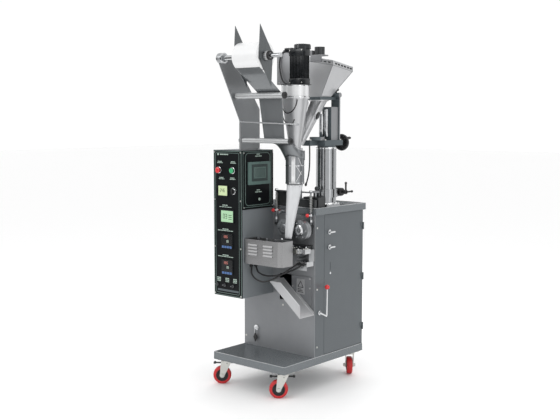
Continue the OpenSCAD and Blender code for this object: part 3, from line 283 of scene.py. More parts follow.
class Part:
    """Collects solids in millimetres and turns them into one piece."""

    def __init__(self, name):
        self.name = name
        self.bm = bmesh.new()

    def ring_mesh(self, rings, caps=True, closed=True):
        rows = [[self.bm.verts.new(p) for p in ring] for ring in rings]
        n = len(rows[0])
        for a, b in zip(rows, rows[1:]):
            for k in range(n if closed else n - 1):
                j = (k + 1) % n
                self.bm.faces.new((a[k], a[j], b[j], b[k]))
        if caps and closed:
            self.bm.faces.new(rows[0][::-1])
            self.bm.faces.new(rows[-1])
        return self

    def box(self, a, b, round_by=0.0, turn=None, about=None):
        lo = [min(p, q) for p, q in zip(a, b)]
        hi = [max(p, q) for p, q in zip(a, b)]
        cube = bmesh.ops.create_cube(self.bm, size=1)["verts"]
        for v in cube:
            v.co = Vector([lo[i] + (v.co[i] + 0.5) * (hi[i] - lo[i]) for i in range(3)])
        if turn:
            bmesh.ops.rotate(self.bm, verts=cube, cent=Vector(about), matrix=turn)
        if round_by:
            edges = list(dict.fromkeys(e for v in cube for e in v.link_edges))
            bmesh.ops.bevel(self.bm, geom=edges, offset=round_by, segments=2,
                            affect="EDGES", profile=0.5)
        return self

    def lathe(self, base, axis, profile, n=48, close=False):
        """profile: (distance along axis, radius) pairs, a radius of 0 closes the end."""
        w = Vector(axis).normalized()
        u = w.orthogonal().normalized()
        v = w.cross(u)
        base = Vector(base)
        rings = [[base + w * h + (u * math.cos(k) + v * math.sin(k)) * max(r, 0.01)
                  for k in turns_of(n)] for h, r in profile]
        if close:
            rings.append(rings[0])
        return self.ring_mesh(rings, caps=not close)

    def rod(self, a, b, r, n=24, chamfer=0.0):
        a, b = Vector(a), Vector(b)
        length = (b - a).length
        c = min(chamfer, r * 0.5, length * 0.3)
        profile = [(0, r), (length, r)]
        if c:
            profile = [(0, r - c), (c, r), (length - c, r), (length, r - c)]
        return self.lathe(a, b - a, profile, n)

    def ball(self, c, r, n=20):
        profile = [(-r * math.cos(math.pi * i / n), r * math.sin(math.pi * i / n))
                   for i in range(n + 1)]
        return self.lathe(c, (0, 0, 1), profile, 2 * n)

    def hexagon(self, base, axis, r, h):
        return self.lathe(base, axis, [(0, r), (h * 0.8, r), (h, r * 0.86)], 6)

    def tube(self, points, r, n=12, steps=6):
        path = smooth_path(points, steps)
        rings = []
        for i, p in enumerate(path):
            d = (path[min(i + 1, len(path) - 1)] - path[max(i - 1, 0)]).normalized()
            g = Vector((1, 0, 0)) if abs(d.z) > 0.9 else Vector((0, 0, 1))
            u = d.cross(g).normalized()
            v = d.cross(u)
            rings.append([p + (u * math.cos(k) + v * math.sin(k)) * r for k in turns_of(n)])
        return self.ring_mesh(rings)

    def sheet(self, rows):
        return self.ring_mesh(rows, caps=False, closed=False)

    def done(self, mat, body="frame", slot="stainless", smooth=40, thick=0.0, bevel=0.0,
             replaces=()):
        bm = self.bm
        if not thick:
            bmesh.ops.recalc_face_normals(bm, faces=bm.faces)
        for v in bm.verts:
            v.co = SHIFT + v.co * MM
        mesh = bpy.data.meshes.new(self.name)
        bm.to_mesh(mesh)
        bm.free()
        obj = bpy.data.objects.new(self.name, mesh)
        bpy.context.collection.objects.link(obj)
        mesh.materials.append(MAT[mat].mat)
        if smooth:
            mesh.shade_smooth()
            mesh.set_sharp_from_angle(angle=math.radians(smooth))
        if thick:
            wall = obj.modifiers.new("wall", "SOLIDIFY")
            wall.thickness = thick * MM
            wall.offset = 0
        if bevel:
            soft = obj.modifiers.new("edges", "BEVEL")
            soft.width = bevel * MM
            soft.segments = 2
            soft.angle_limit = math.radians(50)
            soft.harden_normals = True
        if body:
            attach(obj, body)
        if replaces:
            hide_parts(*replaces)
        return obj


def around(centre, r, angle):
    """The two coordinates at an angle in radians round a centre."""
    return centre[0] + r * math.cos(angle), centre[1] + r * math.sin(angle)


def around_deg(centre, r, degrees):
    return around(centre, r, math.radians(degrees))


def turns_of(n, phase=0.0):
    """n angles spread over one turn, starting a share of a step on."""
    return [2 * math.pi * (k + phase) / n for k in range(n)]


def smooth_path(points, steps):
    """Catmull-Rom through the points."""
    p = [Vector(q) for q in points]
    out = []
    for i in range(len(p) - 1):
        a, b, c, d = p[max(i - 1, 0)], p[i], p[i + 1], p[min(i + 2, len(p) - 1)]
        for j in range(steps):
            t = j / steps
            out.append(0.5 * (2 * b + (c - a) * t + (2 * a - 5 * b + 4 * c - d) * t * t
                              + (3 * b - a - 3 * c + d) * t ** 3))
    out.append(p[-1])
    return out


def paint(node, key, *special):
    """Gives a CAD node its material; special adds (material, test on a face's centre in mm)."""
    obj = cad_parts[node]
    obj.data.materials.clear()
    obj.data.materials.append(MAT[key].mat)
    for index, (other, test) in enumerate(special):
        obj.data.materials.append(MAT[other].mat)
        for face in obj.data.polygons:
            c = (face.center - SHIFT) / MM
            if test(c.x, c.y, c.z, face.normal):
                face.material_index = index + 1


# ---------- CAD nodes that stay ----------

PLAIN = {"plinth": "plinth", "caster_mounts": "zinc", "cabinet_panels": "cabinet",
         "front_panel": "front", "lid": "plinth", "control_box": "box", "control_fascias": "fascia",
         "louver_cover": "steel_x", "drive_unit": "iron", "fasteners": "zinc", "hopper": "hopper",
         "stirrer": "polished", "film_roll": "roll", "upper_roller": "white", "lower_roller": "white",
         "left_seal_roller": "steel_dull", "right_seal_roller": "steel_dull",
         "left_cross_seal": "steel_dull", "right_cross_seal": "polished", "side_door": "cabinet",
         "upper_latch": "chrome", "lower_latch": "chrome", "left_toggle": "steel_dull",
         "middle_toggle": "steel_dull", "right_toggle": "steel_dull", "selector_knob": "black"}
for node, key in PLAIN.items():
    paint(node, key)
for name, _, _, _ in CASTERS:
    paint("caster_fork_" + name, "zinc")
for name in ("left_pressure_lever", "right_pressure_lever"):
    paint(name, "chrome", ("red", lambda x, y, z, n: y < 197))
paint("panel_instruments", "bezel", ("hmi", lambda x, y, z, n: x > 197 and z > 950),
      ("steel_dull", lambda x, y, z, n: z < 530))
paint("film_frame", "steel", ("polished", lambda x, y, z, n: x > 211 or z > 1575),
      ("dark", lambda x, y, z, n: x > 480 and y > -60))
paint("seal_housing", "dark", ("steel_dull", lambda x, y, z, n: z > 830),
      ("polished", lambda x, y, z, n: z < 660))
paint("discharge_chute", "hopper", ("front", lambda x, y, z, n: y > 220.6 and x > 321))
paint("gear_housing", "dark", ("plate", lambda x, y, z, n: z > LID_TOP + 69 and z < LID_TOP + 78))
paint("column", "column", ("steel_dull", lambda x, y, z, n: y > 430))
paint("lift_post", "iron", ("polished", lambda x, y, z, n: z < 1184),
      ("plate", lambda x, y, z, n: n.x > 0.9 and x > 435 and z > 1219))
paint("auger_housing", "cone", ("drum", lambda x, y, z, n: z > 1421))
paint("auger_motor", "motor", ("plate", lambda x, y, z, n: x < 359 and z > MOTOR_Z))
paint("stirrer_motor", "plate", ("dark", lambda x, y, z, n: z > 1632 and x > 360))
paint("reel_flanges", "flange",
      ("drum", lambda x, y, z, n: x > 470 and math.dist((y, z), REEL) < 24),
      ("card", lambda x, y, z, n: 316 < x < 460))
paint("clutch_lever", "chrome", ("red", lambda x, y, z, n: z > 496))
paint("panel_lock", "chrome", ("black", lambda x, y, z, n: z < 238))

# ---------- casters ----------


def polar(cx, cy, yaw):
    """Maps a point given along and across the fork to machine coordinates."""
    c, s = math.cos(math.radians(yaw)), math.sin(math.radians(yaw))
    return lambda a, b, z: (cx + a * c - b * s, cy + a * s + b * c, z)


for name, cx, cy, yaw in CASTERS:
    p = polar(cx, cy, yaw)
    across = Vector(p(0, 1, 0)) - Vector(p(0, 0, 0))
    tyre = Part("tyre_" + name)
    # half widths and depths below the rolling face
    tread = [(-15, 14), (-15, 7.5), (-13.5, 3.4), (-10.5, 0.8), (-8, 0.1), (-6.6, 0.1), (-6, 0.8),
             (-5.4, 0.1), (0, 0), (5.4, 0.1), (6, 0.8), (6.6, 0.1), (8, 0.1), (10.5, 0.8),
             (13.5, 3.4), (15, 7.5), (15, 14)]
    tyre.lathe(p(TRAIL, 0, WHEEL_R), across, [(h, WHEEL_R - d) for h, d in tread], 72, close=True)
    tyre.done("tyre", "wheel_" + name, "red_tyre", replaces=["caster_wheel_" + name])
    hub = Part("hub_" + name)
    rim = WHEEL_R - 14
    half = [(15, 6.2), (15, 12), (14, 13), (9, 14), (8.5, rim - 6), (10, rim - 4), (14.4, rim - 3),
            (14.6, rim)]
    hub.lathe(p(TRAIL, 0, WHEEL_R), across, [(-h, r) for h, r in half] + half[::-1], 48, close=True)
    hub.done("black", "wheel_" + name, "black_plastic")
    nuts = Part("axle_nuts_" + name)
    for side in (1, -1):
        nuts.hexagon(p(TRAIL, 27 * side, WHEEL_R), across * side, 8.6, 4.5)
    nuts.lathe(p(0, 0, 117), (0, 0, 1), [(0, 24), (0.6, 25), (3.5, 25), (4.5, 23)], 40)
    nuts.done("zinc", "caster_" + name, "fastener_zinc")
    plate = Part("caster_bolts_" + name)
    for sx in (-29, 29):
        for sy in (-29, 29):
            plate.hexagon((cx + sx, cy + sy, 124), (0, 0, -1), 6.4, 4.6)
    plate.done("zinc", "frame", "fastener_zinc")
# only the two front casters have a brake pedal
for name, cx, cy, yaw in CASTERS[:2]:
    p = polar(cx, cy, yaw)
    turn = Matrix.Rotation(math.radians(yaw), 3, "Z")
    pedal = Part("pedal_" + name)
    pedal.box((cx - 44, cy - 10, 104), (cx + 60, cy + 10, 107.2), 1.2, turn, (cx, cy, 0))
    for a in (-54, 56):
        pedal.box((cx + a, cy - 15, 103), (cx + a + 12, cy + 15, 109), 1.6, turn, (cx, cy, 0))
        for k in range(3):
            pedal.box((cx + a + 2 + 3.4 * k, cy - 13, 108.6), (cx + a + 3.4 + 3.4 * k, cy + 13, 110),
                      0.0, turn, (cx, cy, 0))
    pedal.rod(p(0, -23, 106), p(0, 23, 106), 2, 16)
    pedal.done("black", "pedal_" + name, "black_plastic", replaces=["brake_pedal_" + name])

# ---------- control panel ----------

def outline(part, point, low, high, radius, width, proud):
    """A closed line with rounded corners; point(a, b, depth) places it on a face."""
    path = []
    corners = ((high[0], high[1]), (low[0], high[1]), (low[0], low[1]), (high[0], low[1]))
    for k, (a, b) in enumerate(corners):
        a0, b0 = a - radius * (1 if k in (0, 3) else -1), b - radius * (1 if k < 2 else -1)
        for i in range(7):
            t = math.pi / 2 * (k + i / 6)
            path.append((a0, b0, math.cos(t), math.sin(t)))
    rings = [[point(a + (radius - o) * c, b + (radius - o) * s, d) for a, b, c, s in path]
             for o, d in ((0, 0), (0, proud), (width, proud), (width, 0))]
    part.ring_mesh(rings + rings[:1], caps=False)


def on_front(a, b, depth):
    return (a, -depth, b)


def on_side(a, b, depth):
    return (CTRL_RIGHT + 3 + depth, a, b)


SIDE_LOW = CTRL_Z + 436
lines = Part("panel_lines")
outline(lines, on_front, (9.5, CTRL_Z + 3), (194, CTRL_TOP - 3), 3, 3.2, 0.8)
outline(lines, on_front, (20, CTRL_Z + 14), (179, CTRL_TOP - 12), 9, 2.4, 0.6)
outline(lines, on_side, (4, SIDE_LOW + 4), (208, CTRL_TOP - 4), 4, 2.6, 0.8)
outline(lines, on_side, (20, SIDE_LOW + 12), (200, CTRL_TOP - 12), 22, 3.4, 0.6)
lines.done("line", "frame", "instruments", smooth=0)


def words(part, x, z, widths, h=3.2, y=-0.3):
    """A generic row of short bars where a legend sits; it spells nothing."""
    for w in widths:
        part.box((x, y, z), (x + w, 0.1, z + h))
        x += w + 2.2


legend = Part("panel_legends")
words(legend, 34, CTRL_Z + 690, (9,), 9)
words(legend, 52, CTRL_Z + 692, (12, 10, 14, 12), 5)
for x, z in ((34, CTRL_Z + 652), (122, CTRL_Z + 652), (44, CTRL_Z + 574), (118, CTRL_Z + 574)):
    words(legend, x + 3, z + 6, (7, 9, 6), 4)
    words(legend, x - 1, z, (9, 6, 10, 5), 3.4)
words(legend, 66, CTRL_Z + 446, (10, 8, 12), 4)
words(legend, 46, CTRL_Z + 438, (14, 18, 12, 20, 8), 3)
for z in (CTRL_Z + 322, CTRL_Z + 194):
    words(legend, 66, z + 7, (12, 9, 14), 4)
    words(legend, 34, z, (20, 14, 18, 9, 16, 14), 3.4)
for x in (28, 84, 136):
    words(legend, x, CTRL_Z + 86, (10, 12), 5)
    words(legend, x, CTRL_Z + 78, (14, 8), 5)
    words(legend, x, CTRL_Z + 71, (8, 14), 4)
for z in (CTRL_Z + 516, CTRL_Z + 690):
    for a, b, h in ((102, 126, 3.4), (92, 112, -6), (115, 138, -6)):
        legend.box((CTRL_RIGHT + 2.9, a, z + h), (CTRL_RIGHT + 3.4, b, z + h + 4.4))
legend.done("label", "frame", "instruments", smooth=0)
base_strip = Part("panel_base_strip")
base_strip.box((32, -0.6, CTRL_Z + 24), (172, 0.1, CTRL_Z + 34), 0.2)
base_strip.done("iron", "frame", "instruments")

SEGMENTS = {"0": "abcdef", "1": "bc", "2": "abged", "3": "abgcd", "4": "fgbc", "5": "afgcd",
            "6": "afgedc", "7": "abc", "8": "abcdefg"}


def digits(part, text, x, z, w, h, y, t=1.1):
    """Seven-segment numbers, lower left corner at x, z."""
    for ch in text:
        bars = {"a": ((0, h - t), (w, h)), "g": ((0, h / 2 - t / 2), (w, h / 2 + t / 2)),
                "d": ((0, 0), (w, t)), "f": ((0, h / 2), (t, h)), "b": ((w - t, h / 2), (w, h)),
                "e": ((0, 0), (t, h / 2)), "c": ((w - t, 0), (w, h / 2))}
        for s in SEGMENTS[ch]:
            (a, b), (c, d) = bars[s]
            part.box((x + a, y - 0.2, z + b), (x + c, y + 0.1, z + d))
        x += w + 2.6


red_digits = Part("digits_red")
white_digits = Part("digits_white")
keys = Part("keys_blue")
windows = Part("meter_windows")
for z in (CTRL_Z + 236, CTRL_Z + 108):
    windows.box((67, -5.4, z + 20), (131, -4.8, z + 70), 0.2)
    digits(red_digits, "185", 74, z + 52, 8.5, 13, -5.4, 2.2)
    digits(white_digits, "18", 92, z + 30, 8.0, 13, -5.4, 2.2)
    for k in range(4):
        keys.box((66 + 17 * k, -6, z + 3), (80 + 17 * k, -4.8, z + 14), 0.8)
windows.done("bezel", "frame", "instruments", smooth=0)
red_digits.done("digit_red", "frame", "instruments", smooth=0)
white_digits.done("digit_white", "frame", "instruments", smooth=0)
keys.done("key_blue", "frame", "instruments")

pale = Part("display_small")
pale.box((44, -4.5, CTRL_Z + 495), (102, -3.8, CTRL_Z + 542), 0.2)
pale.done("screen_pale", "frame", "instruments", smooth=0)
large = Part("display_large")
large.box((61, -4.5, CTRL_Z + 367), (140, -3.8, CTRL_Z + 422), 0.2)
large.done("screen", "frame", "instruments", smooth=0)
ink = Part("display_marks")
digits(ink, "246", 54, CTRL_Z + 512, 9, 16, -4.5, 1.6)
digits(ink, "03", 74, CTRL_Z + 384, 12, 22, -4.5, 2.2)
for k in range(3):
    ink.box((110, -4.7, CTRL_Z + 380 + 10 * k), (132, -4.4, CTRL_Z + 382.4 + 10 * k))
ink.done("bezel", "frame", "instruments", smooth=0)

# the operator screen is three thin layers on the side fascia, each given as material,
# depths from the fascia, y and z from its low corner to its high one, and rounding
for name, key, depths, low, high, soft in (
        ("operator_screen", "shade", (7.8, 8.5), (62, 1022), (176, 1104), 0.2),
        ("operator_screen_area", "hmi", (8.4, 8.9), (76, 1036), (164, 1090), 0.2),
        ("operator_screen_glass", "screen_grey", (8.8, 9.2), (80, 1040), (160, 1086), 0.15)):
    layer = Part(name)
    layer.box((CTRL_RIGHT + depths[0], *low), (CTRL_RIGHT + depths[1], *high), soft)
    layer.done(key, "frame", "instruments", smooth=0)
side_button = Part("side_button")
side_button.lathe((CTRL_RIGHT + 8.8, 115, 934), (1, 0, 0), [(0, 7), (1.6, 7), (2.4, 6), (2.4, 0)], 28)
side_button.done("label", "frame", "instruments")

stop = Part("stop_mushroom")
stop.lathe((STOP[0], -17.5, STOP[1]), (0, 1, 0), [(0, 0), (0.3, 6), (1.4, 11.5), (3.4, 14.6), (5.2, 15),
           (6.4, 14), (7, 6), (19, 6), (19, 0)], 48)
stop.done("red", "stop_button", "red_plastic", replaces=["stop_button"])
start = Part("start_cap")
start.lathe((START[0], -14.5, START[1]), (0, 1, 0), [(0, 0), (0, 11.5), (0.8, 12.8), (3.2, 13), (4, 12),
            (4, 6), (16, 6), (16, 0)], 48)
start.done("green", "start_button", "green_plastic", replaces=["start_button"])
collars = Part("button_collars")
for (x, z), y, r in ((STOP, -5.4, 15), (START, -5.4, 15), (SELECTOR, -4.4, 14)):
    collars.lathe((x, y, z), (0, 1, 0),
                  [(0, r - 4), (0, r - 1), (1, r + 0.6), (5, r + 0.6), (5, r - 4)], 48, close=True)
collars.done("chrome", "frame", "polished_steel")
arc = Part("selector_scale")
for k in range(-3, 4):
    a = math.radians(90 + 22 * k)
    cx, cz = around(SELECTOR, 19, a)
    arc.box((cx - 1, -0.3, cz - 1), (cx + 1, 0.1, cz + 1))
arc.done("label", "frame", "instruments", smooth=0)

# ---------- film path ----------


def roller_arc(centre, r, a0, a1, n=8):
    """Points (y, z) on a roller from angle a0 to a1, degrees from +Y towards +Z."""
    return [around_deg(centre, r, a0 + (a1 - a0) * i / n) for i in range(n + 1)]


def web_x(s, u):
    """Place across the web: s runs from the roll (0) to the shoulder's lip (1)."""
    right = FILM_X + FILM_W / 2 - WEB_TAPER * s * s
    left = FILM_X - FILM_W / 2
    return (left + right) / 2 + (right - left) / 2 * u


def shoulder(u, t, lift=0.0):
    """Point of the forming shoulder: u across the film (-1..1), t from its lip to the tube."""
    turn = math.pi * u * 0.97
    lip = Vector((web_x(1, u), LIP_Y, LIP_Z - 0.6 * lift))
    edge = Vector((*around(FORMER, SHOULDER_R, turn - math.pi / 2),
                   1136 + 14 * math.cos(turn) - 16 * max(0, -math.sin(turn))))
    p = lip.lerp(edge, t)
    p.z = lip.z + (edge.z - lip.z) * t ** (1.9 - 0.4 * math.cos(turn))
    # the film stays outside the tube, and bulges more on its left side
    radial = Vector((p.x - FORMER[0], p.y - FORMER[1], 0))
    reach = SHOULDER_R + (26 if u < 0 else 8) * (1 - t) * math.sin(turn / 2) ** 2
    if radial.length < reach:
        p += radial.normalized() * (reach - radial.length)
    p.z += lift
    return p


# the web leaves the roll along the line that touches the roll and the upper roller crosswise
run = math.degrees(math.atan2(REEL[1] - UPPER[1], UPPER[0] - REEL[0]))
slope = -run + math.degrees(math.asin((REEL_OFF + UPPER_OFF) / math.dist(REEL, UPPER)))
side = [around_deg(REEL, REEL_OFF, slope - 90)]
side += roller_arc(UPPER, UPPER_OFF, 90 + slope, 8)
side += roller_arc(LOWER, LOWER_OFF, 6, 24, 3)
ACROSS = [2 * i / CROSS - 1 for i in range(CROSS + 1)]
rows = []
for (y, z) in side:
    s = (side[0][1] - z) / (side[0][1] - LIP_Z)
    rows.append([(web_x(s, u), y, z) for u in ACROSS])
for j in range(15):
    rows.append([shoulder(u, j / 14, 1.6) for u in ACROSS])
# the web sheet takes the painted-shade grey, not the white of the wound film
web = Part("film_web_sheet").sheet(rows)
web_area = sum(f.calc_area() for f in web.bm.faces) * 1e-6
web = web.done("web", "frame", "film_grey", thick=0.25, replaces=["film_web"])
shoulder_rows = [[shoulder(u, j / 14) for u in ACROSS] for j in range(15)]
Part("forming_shoulder").sheet(shoulder_rows).done("steel_dull", "frame", "stainless", thick=1.4)
tube = Part("forming_tube")
tube.lathe((*FORMER, 1015), (0, 0, 1), [(0, 43), (0, 44.5), (137, 44.5), (137, 43)], 72, close=True)
tube.box((358, 176, 1023), (346, 256, 1029), 0.6).box((346, 250, 897), (358, 256, 1029), 0.6)
tube.done("steel_dull", "frame", "stainless", replaces=["forming_collar"])
bands = Part("former_bands")
for z in (1018, 1100):
    bands.lathe((*FORMER, z), (0, 0, 1), [(0, 44.4), (0, 45.4), (4, 45.4), (4, 44.4)], 72,
                close=True)
bands.done("polished", "frame", "stainless")
guard = Part("former_back_guard")
guard.sheet([[(*around_deg(FORMER, 47, a), z) for a in range(20, 216, 6)] for z in (1128, 1150, 1172)])
guard.done("steel_dull", "frame", "stainless", thick=1.2)
# thin wires in the light drum colour crossing the tube's front right: painted reflections of the light
# lines on the tube
reflection_wires = Part("former_reflection_wires")
for a0, a1, z0, z1 in ((-46, -8, 1104, 1060), (-46, -8, 1024, 1076), (-32, -6, 1142, 1100)):
    reflection_wires.tube([(*around_deg(FORMER, 46, a0 + (a1 - a0) * i / 5), z0 + (z1 - z0) * i / 5)
                for i in range(6)], 1.2, 8, 2)
reflection_wires.done("drum", "frame", "stainless")
# a light band down the tube's front left: a painted highlight on the dull tube
highlight_strip = Part("former_highlight_strip")
highlight_strip.sheet([[(*around_deg(FORMER, 45.2, a), z) for a in range(-72, -45, 3)]
             for z in (1017, 1060, 1104, 1146)])
highlight_strip.done("drum", "frame", "stainless", thick=0.8)

sleeve_rows = []
for j in range(25):
    s = j / 24
    z = SLEEVE_TOP - s * SLEEVE_H
    cx, cy = FORMER[0] - 2 * s, FORMER[1] - 47 * s
    rx = 38.6 + (19.5 - 38.6) * s ** 0.9
    ry = 38.6 + (8.6 - 38.6) * s
    ring = []
    for a in turns_of(64):
        crease = 0.5 * math.sin(7 * a + 5 * s) * s + 0.35 * math.sin(15 * a - 9 * s)
        ring.append((cx + (rx + crease) * math.cos(a), cy + (ry + crease) * math.sin(a), z))
    sleeve_rows.append(ring)
sleeve = Part("film_sleeve").ring_mesh(sleeve_rows, caps=False)
sleeve_area = sum(f.calc_area() for f in sleeve.bm.faces) * 1e-6
sleeve = sleeve.done("film", "frame", "film_white", thick=0.25, replaces=["film_tube"])

reel_trim = Part("reel_trim")
for x in (292, 466):
    for k in range(3):
        a = math.radians(30 + 120 * k)
        reel_trim.rod((x + 4, *around(REEL, 20, a)), (x + 4, *around(REEL, 23.5, a)), 3, 12, 0.4)
reel_trim.lathe((484, *REEL), (1, 0, 0), [(0, 12.4), (0, 20), (1, 21), (9, 21), (10, 20), (10, 12.4)],
                48, close=True)
reel_trim.done("black", "reel", "black_plastic")
core = Part("reel_core")
core.lathe((314.6, *REEL), (1, 0, 0), [(0, 22.2), (0, 26), (146.8, 26), (146.8, 22.2)], 64, close=True)
core.done("card", "reel", "film_white")
cheek = Part("cheek_fittings")
for y, z in (REEL, UPPER, LOWER):
    cheek.hexagon((178, y, z), (-1, 0, 0), 12, 9)
cheek.lathe((182, *REEL), (1, 0, 0), [(0, 24.1), (20, 24.1), (24, 23), (28, 18), (28.6, 12.2)], 48)
cheek.ball((541, 4, 1298), 4.6)
for y in (16, 128):
    cheek.hexagon((190, y, 1175), (0, 0, 1), 6, 4)
cheek.done("steel", "frame", "polished_steel")
caps = Part("roller_end_caps")
for y, z, r in ((*UPPER, 13), (*LOWER, 10.6)):
    caps.rod((481.6, y, z), (491, y, z), r + 2.4, 32, 1.2)
caps.done("black", "frame", "black_plastic")

# ---------- filler ----------

trim = Part("filler_trim")
for z, r in ((1424, 69.6), (1475, 64.7)):
    trim.lathe((*FORMER, z), (0, 0, 1), [(0, r - 1), (0.6, r + 0.6), (4, r + 0.6), (4.6, r - 1)], 72)
for a in turns_of(14):
    trim.hexagon((*around(FORMER, 66.6, a), 1424), (0, 0, 1), 2.6, 2.6)
for a in turns_of(6, 0.5):
    trim.hexagon((*around(FORMER, 31, a), 1180), (0, 0, 1), 4.2, 3.6)
trim.done("chrome", "lift_head", "polished_steel")
drum = Part("bowl_drum")
drum.lathe((*FORMER, 1429), (0, 0, 1), [(0, 64.5), (0, 65.2), (45, 65.2), (45, 64.5)], 80,
           close=True)
drum.done("drum", "lift_head", "stainless")
seam = Part("cone_seam")
seam.tube([(FORMER[0] + a, FORMER[1] + b, z) for a, b, z in
           ((20, 30, 1215), (34, 40, 1290), (42, 42, 1350), (46, 43, 1402))], 1.2, 8)
seam.done("steel_dull", "lift_head", "stainless")
handle = Part("bowl_handles")
# two bent rods that hug the cone; each point is a place along FACE_ALONG and a height
FACE_ALONG, FACE_OUT = (0.757, 0.653), (0.653, -0.757)
for arc in (((-66, 1404), (-63, 1382), (-52, 1360), (-40, 1349), (-20, 1354), (-4, 1370), (6, 1392),
             (9, 1412)),
            ((-62, 1366), (-55, 1326), (-42, 1302), (-30, 1293), (-14, 1300), (-3, 1320))):
    points = []
    for a, z in arc:
        r = 69 - (1420 - z) * 0.196 + 3.4
        f = math.sqrt(max(r * r - a * a, 0))
        points.append([FORMER[i] + a * FACE_ALONG[i] + f * FACE_OUT[i] for i in (0, 1)] + [z])
    handle.tube(points, 2.4, 10)
handle.done("black", "lift_head", "black_plastic")

# feed pipe window: an oval frame on the slanted pipe's right side
win = Part("feed_window")
glass = Part("feed_window_glass")
wx, wy, wz = FILM_X + 33, 292, 1338
for part, ra, rb, lift in ((win, 27, 15, 0), (glass, 23, 11, 0.8)):
    rings = []
    for off, k in ((0, 1.0), (2.6 + lift, 1.0), (3.4 + lift, 0.9)):
        ring = []
        for a in turns_of(40):
            along, across = ra * k * math.cos(a), rb * k * math.sin(a)
            ring.append((wx + off - 0.004 * across ** 2, wy + along * 0.56 + across * 0.82,
                         wz + along * 0.82 - across * 0.56))
        rings.append(ring)
    part.ring_mesh(rings)
win.done("chrome", "lift_head", "polished_steel")
glass.done("bezel", "lift_head", "stainless")

motor = Part("auger_motor_body")
mx0, mx1, my0, my1, mz = 361, 448, 150, 204, MOTOR_Z
motor.box((mx0, my0, mz), (mx1, my1, mz + 28), 3).box((mx0, my0, mz + 132), (mx1, my1, mz + 166), 3)
motor.box((mx0 + 4, my0 + 4, mz + 20), (mx1 - 4, my1 - 4, mz + 140), 5)
for k in range(9):
    x = mx0 + 6 + k * 9.2
    motor.box((x, my0, mz + 27), (x + 3, my0 + 6, mz + 133), 0.6)
    if k < 5:
        motor.box((mx1 - 6, my0 + 6 + k * 9.6, mz + 27), (mx1, my0 + 9 + k * 9.6, mz + 133), 0.6)
motor.lathe((413, 189, mz + 164), (0, 0, 1), [(0, 40), (18, 40), (22, 38), (24, 32), (24, 0)], 56)
motor.box((338, 120, mz - 4), (451, 209, mz), 0.8)
motor.done("motor", "lift_head", "black_motor", replaces=["auger_motor"])
belt = Part("belt_cover")
belt.box((272, 167, mz), (360, 195, mz + 152), 2.4)
belt.done("plate", "lift_head", "stainless")
bolts = Part("motor_bolts")
for x in (mx0 + 7, mx1 - 7):
    for z in (mz + 8, mz + 158):
        bolts.hexagon((x, my0, z), (0, -1, 0), 3.6, 3)
for x in (288, 352):
    for z in (mz + 10, mz + 142):
        bolts.hexagon((x, 167, z), (0, -1, 0), 3, 2)
bolts.done("zinc", "lift_head", "fastener_zinc")
junction = Part("motor_connection_box")
junction.box((326, 158, mz + 152), (374, 186, mz + 172), 4)
junction.rod((330, 170, mz + 160), (316, 168, mz + 156), 7, 20, 1)
junction.done("motor", "lift_head", "black_motor")
loop = Part("motor_cable")
loop.tube([(320, 168, mz + 158), (306, 164, mz + 146), (298, 160, mz + 118), (298, 158, mz + 84),
           (306, 156, mz + 50), (320, 154, mz + 20), (336, 152, mz + 6), (350, 150, mz + 2)], 3.6, 12)
loop.done("rubber", "lift_head", "cable_rubber")

# the hopper's rim slopes, so each of its corners has its own height
rim = Part("hopper_rim")
CORNERS = ((-1, -1), (1, -1), (1, 1), (-1, 1))
RIM_HALF, FLANGE_H = 80, 22
tops = [1625, 1600, 1575, 1600]
ring = [(HOPPER[0] + sx * RIM_HALF, HOPPER[1] + sy * RIM_HALF, top)
        for (sx, sy), top in zip(CORNERS, tops)]
for a, b in zip(ring, ring[1:] + ring[:1]):
    rim.rod(a, b, 2.2, 12)
for p in ring:
    rim.ball(p, 2.2, 8)
rim.done("bright", "lift_head", "stainless")
# dark bars on the rim band stand for its slots: painted shade, the dark seen through the openings
slot_shade_bars = Part("hopper_rim_slot_shade")
for i in range(3):
    low, high = Vector(ring[1]), Vector(ring[2])
    for k in (0.12 + 0.3 * i, 0.26 + 0.3 * i):
        a, b = low.lerp(high, k), low.lerp(high, k + 0.09)
        slot_shade_bars.rod(a + Vector((-0.6, 0, -11)), b + Vector((-0.6, 0, -11)), 4.2, 12, 2)
    low, high = Vector(ring[0]), Vector(ring[1])
    a, b = low.lerp(high, 0.5 + 0.16 * i), low.lerp(high, 0.6 + 0.16 * i)
    slot_shade_bars.rod(a + Vector((0, 0.6, -11)), b + Vector((0, 0.6, -11)), 3.2, 12, 2)
slot_shade_bars.done("dark", "lift_head", "stainless")
welds = Part("hopper_welds")
mids = [(p[0], p[1], p[2] - FLANGE_H) for p in ring]
for (sx, sy), mid, top in zip(CORNERS, mids, ring):
    welds.rod((HOPPER_FOOT[0] + sx * 39, HOPPER_FOOT[1] + sy * 39, 1428), mid, 1.3, 10)
    welds.rod(mid, top, 1.3, 10)
for a, b in zip(mids, mids[1:] + mids[:1]):
    welds.rod(a, b, 1.1, 10)
welds.done("steel_dull", "lift_head", "stainless")

flight = Part("auger_flight")
low, turns, steps, pitch, inner, outer = 995, 10, 24, 28, 8, 17.5
rows = []
for i in range(turns * steps + 1):
    a = 2 * math.pi * i / steps
    rows.append([(*around(FORMER, r, a), low + pitch * i / steps)
                 for r in (inner - 0.5, inner + 4, outer)])
flight.sheet(rows).done("polished", "auger", "stainless", thick=1.6)
shaft = Part("auger_shaft")
shaft.rod((*FORMER, 991), (*FORMER, 1476), inner, 32, 1.5)
shaft.done("polished", "auger", "stainless", replaces=["auger"])

# ---------- column, crank and hand wheel ----------

